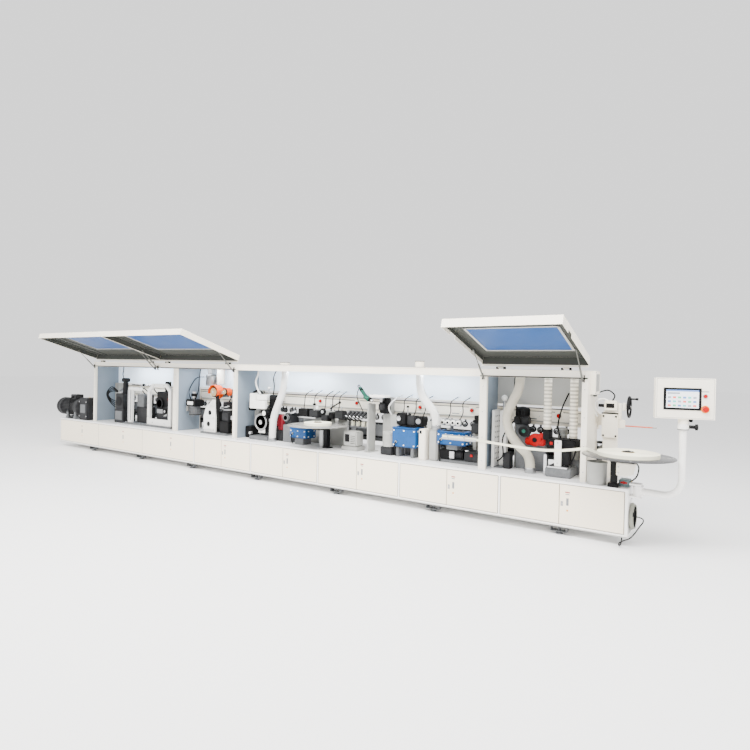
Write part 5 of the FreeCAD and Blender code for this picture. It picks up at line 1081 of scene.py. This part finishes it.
drive.cyl(BLACK, (-9910, 102, 960), (-9910, 76, 960), 18, 3, 20)
drive.wire(RUBBER, [(-9910, 80, 960), (-9912, 40, 900), (-9910, 22, 740), (-9910, 40, 580),
                    (-9890, 90, 552)], 9)
for x in (-10060, -9790):
    drive.box(CASTGREY, x, x + 80, 35, 315, DECK_TOP, 600, 5)
    for y in (60, 290):
        drive.box(CASTGREY, x + 8, x + 72, y - 18, y + 18, 600, 690, 6)
drive.box(DARKGREY, -9620, -9330, 50, 320, DECK_TOP, 960, 16)
drive.bolts(STEEL, (-9590, -9360), 50, (620, 890), (0, -1, 0), 12, 9)
drive.box(CASTGREY, -9560, -9390, 42, 52, 680, 840, 5)
drive.cyl(BRASS, (-9475, 180, 958), (-9475, 180, 974), 16, 3, 20)
drive.done()

# ---- reels, tape stand, right end ---------------------------------------------------------
def reel(name, body, node, centre, disc_r, roll_r, face):
    """A tape roll on its disc; its axis is upright and centre lies on the disc's top."""
    x, y, z = centre
    r = Piece(name, body, (node,))
    r.lathe(face, (x, y, z - 8), (x, y, z), [(0, disc_r - 2.5), (1.5, disc_r), (6.5, disc_r),
                                             (8, disc_r - 2.5)], 96)
    turns = int((roll_r - 62) / TAPE_TURN)
    profile = [(33.6 if k % 2 else 32.4, roll_r - k * TAPE_TURN) for k in range(turns + 1)]
    r.lathe(TAPE, (x, y, z), (x, y, z + 34), [(0, roll_r), (31.6, roll_r)] + profile + [(33, 60)], 96)
    r.lathe(CORE, (x, y, z), (x, y, z + 34), [(0, 60), (34.6, 59), (35.2, 52)], 48)
    r.lathe(BLACK, (x, y, z), (x, y, z + 44), [(0, 50), (38, 50), (42, 46), (42, 22), (44, 20)], 40)
    for k in range(3):
        dx, dy = on_circle(36, 90 + 120 * k)
        r.cyl(STEEL, (x + dx, y + dy, z + 41), (x + dx, y + dy, z + 47), 6, 1, 14)
    for k in range(4):
        a = math.radians(12 + 90 * k)
        for s in (-0.012, 0.012):
            spoke = [(x + rr * math.cos(a + s), y + rr * math.sin(a + s), z + 0.3)
                     for rr in (roll_r + 8, (roll_r + disc_r) / 2, disc_r - 18)]
            r.wire(MIDGREY, spoke, 1.2, 6, 2)
    r.done()


reel("mid_reel_disc", "mid_reel", "mid_tape_reel", (-3825, 115, 862), 408, 185, REELGREY)
reel("infeed_reel_disc", "infeed_reel", "infeed_tape_reel", (-4, -40, 868), 402, 268, SMOKED)

stand = Piece("reel_stand_set", hides=("reel_stands",))
x, y, seat = -3825.0, 115.0, 853.5
stand.cyl(STEEL, (x, y, seat - 30), (x, y, 906), 13.8, 2, 24)
stand.cyl(BLACK, (x, y, seat - 30), (x, y, seat), 60, 5)
stand.box(DARKGREY, x - 60, x + 60, y - 40, y + 200, seat - 60, seat - 30, 5)
stand.box(ALU, x - 60, x + 5, y + 110, y + 190, DECK_TOP, seat - 60, 6)
stand.box(BLACK, x + 8, x + 80, y + 112, y + 180, 559, seat - 60, 8)
stand.box(BLACK, x + 6, x + 110, y + 96, y + 196, DECK_TOP, 559, 3)
x, y, seat = -4.0, -40.0, 859.5
stand.cyl(STEEL, (x, y, seat - 30), (x, y, 910), 13.8, 2, 24)
stand.cyl(BLACK, (x, y, seat - 30), (x, y, seat), 70, 6)
stand.box(BLACK, -160, 60, -80, 110, seat - 60, seat - 30, 8)
stand.box(BLACK, -165, -105, 20, 80, 587, seat - 60, 8)
stand.plate(BLACK, [(2, DECK_TOP), (100, DECK_TOP), (84, 587), (16, 587)], "X", -185, -90, 4)
stand.plate(BLACK, [(-100, seat - 60), (50, seat - 60), (10, seat - 140), (-100, seat - 140)], "Y", 30,
            42, 3)
stand.plate(IVORY, [(-100, seat - 62), (64, seat - 62), (40, 690), (-20, 676), (-100, 676)], "Y", -60,
            26, 6)
stand.bolts(STEEL, -80, -60, (700, 760), (0, -1, 0), 8, 5)
stand.box(TEAL, -102, -6, 110, 240, DECK_TOP, 612, 6)
stand.cyl(RED, (-54, 108, 588), (-54, 92, 588), 13, 3)
stand.box(RED, -84, -24, 88, 96, 582, 596, 3)
stand.pipe(BRASS, (-6, 180, 585), (8, 180, 585), 14, 7)
stand.wire(BLACK, [(-2, 205, 592), (40, 216, 640), (60, 190, 720), (56, 120, 770), (30, 60, 800),
                   (20, 30, 812)], 7, 12)
stand.cyl(BLACK, (20, 32, 800), (20, 32, 828), 12, 3, 20)
stand.pipe(MIDGREY, (-300, 100, DECK_TOP), (-300, 100, 764), 92, 88, 56)
stand.pipe(MIDGREY, (-300, 100, 752), (-300, 100, 766), 97, 92, 56)
stand.cyl(MIDGREY, (-300, 100, DECK_TOP), (-300, 100, 640), 88, 2, 48)
stand.done()

coil = Piece("air_hose_windings", hides=("air_hose_coil",))
turns, steps = 5, 48
line = []
for k in range(turns * steps + 1):
    a = 2 * math.pi * k / steps
    rr = 113.0 + 8.0 * math.sin(k * 0.9 / steps)
    line.append(Vector((9.0 + 33.0 * k / (turns * steps), 150 + rr * math.cos(a + 1.2),
                        270 + rr * math.sin(a + 1.2))))
coil.sweep(HOSEGREY, line, [6.5] * len(line), 12)
line = []
for k in range(3 * steps + 1):
    a = 2 * math.pi * k / steps
    line.append(Vector((14.0 + 24.0 * k / (3 * steps), 150 + 97 * math.cos(a + 0.4),
                        270 + 97 * math.sin(a + 0.4))))
coil.sweep(RUBBER, line, [6.0] * len(line), 12)
coil.box(STEEL, 0, 10, 130, 170, 372, 388, 2)
coil.box(STEEL, 0, 50, 143, 157, 384, 392, 2)
for a in (40, 160, 280):
    dy, dz = on_circle(106, a)
    coil.box(BLACK, 6, 46, 141 + dy, 159 + dy, 248 + dz, 292 + dz, 3, ("X", a))
coil.done()

fitting = Piece("right_end_fittings")
fitting.box(BLACK, -1, 12, 128, 172, 256, 284, 3)
fitting.cyl(BLACK, (8, 150, 270), (24, 150, 270), 11, 3, 20)
fitting.box(MIDGREY, -0.5, 1.5, 60, 260, 110, 230, 0.6)
fitting.bolts(STEEL, 1.5, (72, 248), (122, 218), (1, 0, 0), 6, 3.5)
fitting.box(LABELGREY, -0.2, 0.9, 190, 250, 420, 470, 0.3)
for z in (462, 594):
    fitting.pipe(STEEL, (70, 110, z - 3), (70, 110, z + 3), 34, 20.4)
fitting.done()

head = Piece("infeed_head_set", hides=("infeed_head",))
head.box(IVORY, -340, -184, 478, 500, 960, 1215, 7)
head.bolts(BLACK, (-322, -202), 478, (985, 1185), (0, -1, 0), 10, 8)
head.box(BLACK, -342, -182, 474, 500, 1208, 1222, 4)
head.box(IVORY, -330, -196, 500, 590, DECK_TOP, 1180, 6)
head.box(IVORY, -330, -196, 500, 590, 1180, 1240, 6)
head.box(IVORY, -320, -200, 478, 590, 1240, 1345, 10)
head.box(BLACK, -300, -220, 476.5, 479, 1270, 1318, 1)
head.box(IVORY, -196, -165, 560, 590, 1150, 1320, 4)
head.cyl(BLACK, (-385, 530, 1290), (-320, 530, 1290), 17, 5, 24)
head.box(IVORY, -196, -128, 560, 590, 1060, 1150, 5)
head.cyl(SALMON, (-128, 575, 1088), (125, 575, 1088), 7, 1.5, 20)
head.cyl(MIDGREY, (125, 575, 1088), (165, 575, 1088), 8, 2.5, 20)
head.cyl(STEEL, (-128, 600, 1283), (-82, 600, 1283), 10, 1.5, 24)
head.box(IVORY, -160, -128, 580, 620, 1243, 1323, 5)
head.hexnut(STEEL, (-82, 600, 1283), (1, 0, 0), 14, 9)
for s in (0, 26):
    head.wire(WHITE, [(-360 - s, 500, 1200 - s), (-400 - s, 470, 1260), (-400 - s, 470, 1330 + s / 2),
                      (-340, 500, 1360), (-290, 520, 1345)], 9, 12)
head.wire(RUBBER, [(-250, 540, 1345), (-230, 540, 1400), (-300, 570, 1450), (-401, 575, 1420)], 7, 10)
head.done()
wheel = Piece("handwheel_trim", "height_handwheel")
wheel.cyl(BLACK, (-46, 650, 1365), (-20, 650, 1365), 13, 5, 24)
wheel.done()

tape_detail = Piece("cassette_guides")
for x in (-1900, -1700):
    tape_detail.cyl(STEEL, (x, 76, 846), (x, 76, 892), 6, 1.5, 16)
tape_detail.done()

# ---- operator panel -----------------------------------------------------------------------
HMI = (Matrix.Translation(Vector((430.0, 40.0, 0.0))) @ Matrix.Rotation(math.radians(15.0), 4, "Z")
       @ Matrix.Translation(Vector((-430.0, -40.0, 0.0))))
hmi = Piece("panel_face", "panel_head", frame_of=HMI)
front = -15.0
for x0, x1, z0, z1 in ((203, 657, 1243, 1246), (203, 657, 1588, 1591), (203, 206, 1243, 1591),
                       (654, 657, 1243, 1591)):
    hmi.box(MIDGREY, x0, x1, front - 0.7, front + 0.5, z0, z1, 0.2)
hmi.pipe(ALU, (587, front - 0.4, 1442), (587, front - 3.2, 1442), 19, 14.6)
hmi.pipe(YELLOW, (587, front - 0.2, 1328), (587, front - 8.4, 1328), 33, 30.2)
hmi.pipe(ORANGE, (587, front - 5.1, 1328), (587, front - 8.0, 1328), 30, 22.2)
hmi.box(LABELGREY, 560, 614, front - 0.7, front + 0.3, 1478, 1486, 0.2)
hmi.box(MIDGREY, 214, 646, front + 110, front + 112.5, 1254, 1580, 1.0)
hmi.bolts(BLACK, (222, 638), front + 112, (1264, 1570), (0, 1, 0), 5, 3)
for k in range(6):
    hmi.box(BLACK, 330, 530, front + 112, front + 113.4, 1330 + 14 * k, 1334 + 14 * k, 0.5)
hmi.lathe(BLACK, (490, 40, 1236), (490, 40, 1206), [(0, 15), (6, 17), (24, 15), (30, 11)], 20)
hmi.done()
sx0, sz0 = 257.0, 1315.0
screen = Piece("screen_glass", "panel_head", ("touch_screen",), HMI)
screen.box(BLACK, sx0, sx0 + 300, front - 6, front, sz0, sz0 + 196, 4)
screen.box(SCREEN, sx0 + 22, sx0 + 278, front - 6.6, front - 5, sz0 + 20, sz0 + 178, 0.4)
screen.box(INK[2], sx0 + 22, sx0 + 278, front - 7.0, front - 6, sz0 + 164, sz0 + 178, 0.2)
screen.box(INK[4], sx0 + 30, sx0 + 130, front - 7.0, front - 6, sz0 + 140, sz0 + 156, 0.2)
for r in range(3):
    for c in range(6):
        screen.box(INK[(r * 2 + c) % 5], sx0 + 34 + 40 * c, sx0 + 60 + 40 * c, front - 7.0, front - 6,
                   sz0 + 30 + 36 * r, sz0 + 48 + 36 * r, 0.2)
screen.done()
arm = Piece("arm_trim", "panel_arm")
arm.pipe(BLACK, (430, 40, 1136), (430, 40, 1142), 46.5, 44.1)
arm.cyl(BLACK, (474, 40, 1165), (522, 40, 1165), 15.6, 2, 24)
arm.lathe(BLACK, (520, 40, 1165), (548, 40, 1165), [(0, 17), (4, 26), (22, 26), (28, 16)], 24)
for k in range(6):
    dy, dz = on_circle(25, 60 * k)
    arm.cyl(BLACK, (523, 40 + dy, 1165 + dz), (545, 40 + dy, 1165 + dz), 5, 2, 10)
arm.pipe(STEEL, (70, 110, 570), (70, 110, 577), 47.5, 46.1)
arm.done()

# ---- back of the base and hood ------------------------------------------------------------
back = Piece("rear_panels")
for k in range(8):
    x0 = -10170.0 + 1252.0 * k
    x1 = x0 + 1246.0
    # painted shade: a dark strip stands in for the shaded gap between neighbouring rear panels
    back.box(GAP_SHADE, x1 + 1, x1 + 5, 948.0, 950.3, 126, 512, 0.1)
    for x in (x0 + 20, (x0 + x1) / 2, x1 - 20):
        for z in (146, 492):
            back.cyl(STEEL, (x, 949.0, z), (x, 950.35, z), 6.0, 0.1, 16)
    if k % 2 == 0:
        # painted shade: rows of dark strips stand in for shaded slots
        for n in range(9):
            back.box(GAP_SHADE, x0 + 380, x0 + 860, 949, 950.3, 240 + 20 * n, 245 + 20 * n, 0.1)
    else:
        back.box(LABELGREY, x0 + 80, x0 + 150, 949, 950.3, 420, 460, 0.1)
# painted shade: dark strips along the upper and lower joints of the rear panels
for z in (122, 515):
    back.box(GAP_SHADE, -10170, -160, 948, 950.3, z, z + 3, 0.1)
back.done()
rear = Piece("hood_rear_trim")
for k in range(10):
    x = -9100.0 + 960.0 * k
    rear.box(IVORY, x - 30, x + 30, 590.5, 595.5, 1258, 1646, 2.0)
    rear.bolts(STEEL, x, 595.5, (1290, 1450, 1620), (0, 1, 0), 6, 3.5)
rear.box(MIDGREY, -9180, -430, 591, 640, 1560, 1612, 3.0)
for k in range(30):
    x = -9120.0 + 298.0 * k
    rear.box(CASTGREY, x, x + 10, 590.6, 641.5, 1556, 1616, 1.0)
rear.done()
trough = Piece("track_rear_trim")
for k in range(24):
    x = -9250.0 + 380.0 * k
    trough.bolt(STEEL, (x, 735, 830), (0, 1, 0), 8, 6)
    trough.bolt(STEEL, (x, 735, 670), (0, 1, 0), 8, 6)
trough.box(MIDGREY, -9300, -440, 735, 741, 735, 775, 2.0)
trough.wire(RUBBER, [(-9300, 760, 700), (-9000, 756, 650), (-6000, 750, 640), (-3000, 750, 642),
                     (-600, 756, 650), (-420, 748, 720)], 9, 10, 8)
trough.done()
ends = Piece("left_end_panel")
ends.box(CREAM, -10181.2, -10179.4, 60, 900, 130, 508, 1.0)
ends.bolts(STEEL, -10180.8, (80, 480, 880), (146, 492), (-1, 0, 0), 5.5, 3.0)
for n in range(7):
    ends.box(MIDGREY, -10183.0, -10180.6, 340, 620, 250 + 22 * n, 258 + 22 * n, 1.0)
ends.done()

# ---- floor and light ----------------------------------------------------------------------
def floor_material():
    """The pale concrete-like floor of the studio."""
    mat = bpy.data.materials.new("pale_floor")
    mat.use_nodes = True
    nt = mat.node_tree
    shader = nt.nodes["Principled BSDF"]
    shader.inputs["Roughness"].default_value = 0.75
    noise = shader_node(nt, "ShaderNodeTexNoise", {"Scale": 0.6})
    colour = colour_ramp(nt, noise.outputs["Fac"], ((0.0, (0.93, 0.93, 0.93)), (1.0, (0.97, 0.97, 0.97))))
    nt.links.new(colour, shader.inputs["Base Color"])
    return mat


ground = bpy.data.meshes.new("floor")
ground.from_pydata([(-60, -60, 0), (60, -60, 0), (60, 60, 0), (-60, 60, 0)], [], [(0, 1, 2, 3)])
ground.materials.append(floor_material())
floor = bpy.data.objects.new("floor", ground)
bpy.context.scene.collection.objects.link(floor)
floor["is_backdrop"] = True

world = bpy.data.worlds.new("studio")
world.use_nodes = True
world.node_tree.nodes["Background"].inputs["Color"].default_value = (1.0, 1.0, 1.0, 1.0)
world.node_tree.nodes["Background"].inputs["Strength"].default_value = 1.5
bpy.context.scene.world = world


def area(name, at, look, size, power, colour=(1.0, 1.0, 1.0)):
    """A rectangular lamp at one place, turned to look at another."""
    data = bpy.data.lights.new(name, "AREA")
    data.shape = "RECTANGLE"
    data.size, data.size_y = size
    data.energy = power
    data.color = colour
    obj = bpy.data.objects.new(name, data)
    bpy.context.scene.collection.objects.link(obj)
    obj.location = W(*at)
    obj.rotation_euler = (W(*look) - obj.location).to_track_quat("-Z", "Y").to_euler()


area("key", (-2500, -4200, 6200), (-4400, 100, 500), (10.0, 3.0), 2000.0, (1.0, 0.985, 0.96))
area("side", (5500, -2600, 4200), (-1500, 200, 800), (4.0, 3.0), 260.0)
area("left_fill", (-13500, -5500, 4200), (-7500, 200, 800), (5.0, 4.0), 220.0)
for i, (x, power) in enumerate(((-8000, 14.0), (-6100, 14.0), (-4400, 15.0), (-2400, 12.0), (-960, 2.0))):
    area("hood_light_%d" % i, (x, 330, 1590), (x, 380, 600), (1.0, 0.06), power, (0.86, 0.93, 1.0))

low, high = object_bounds()
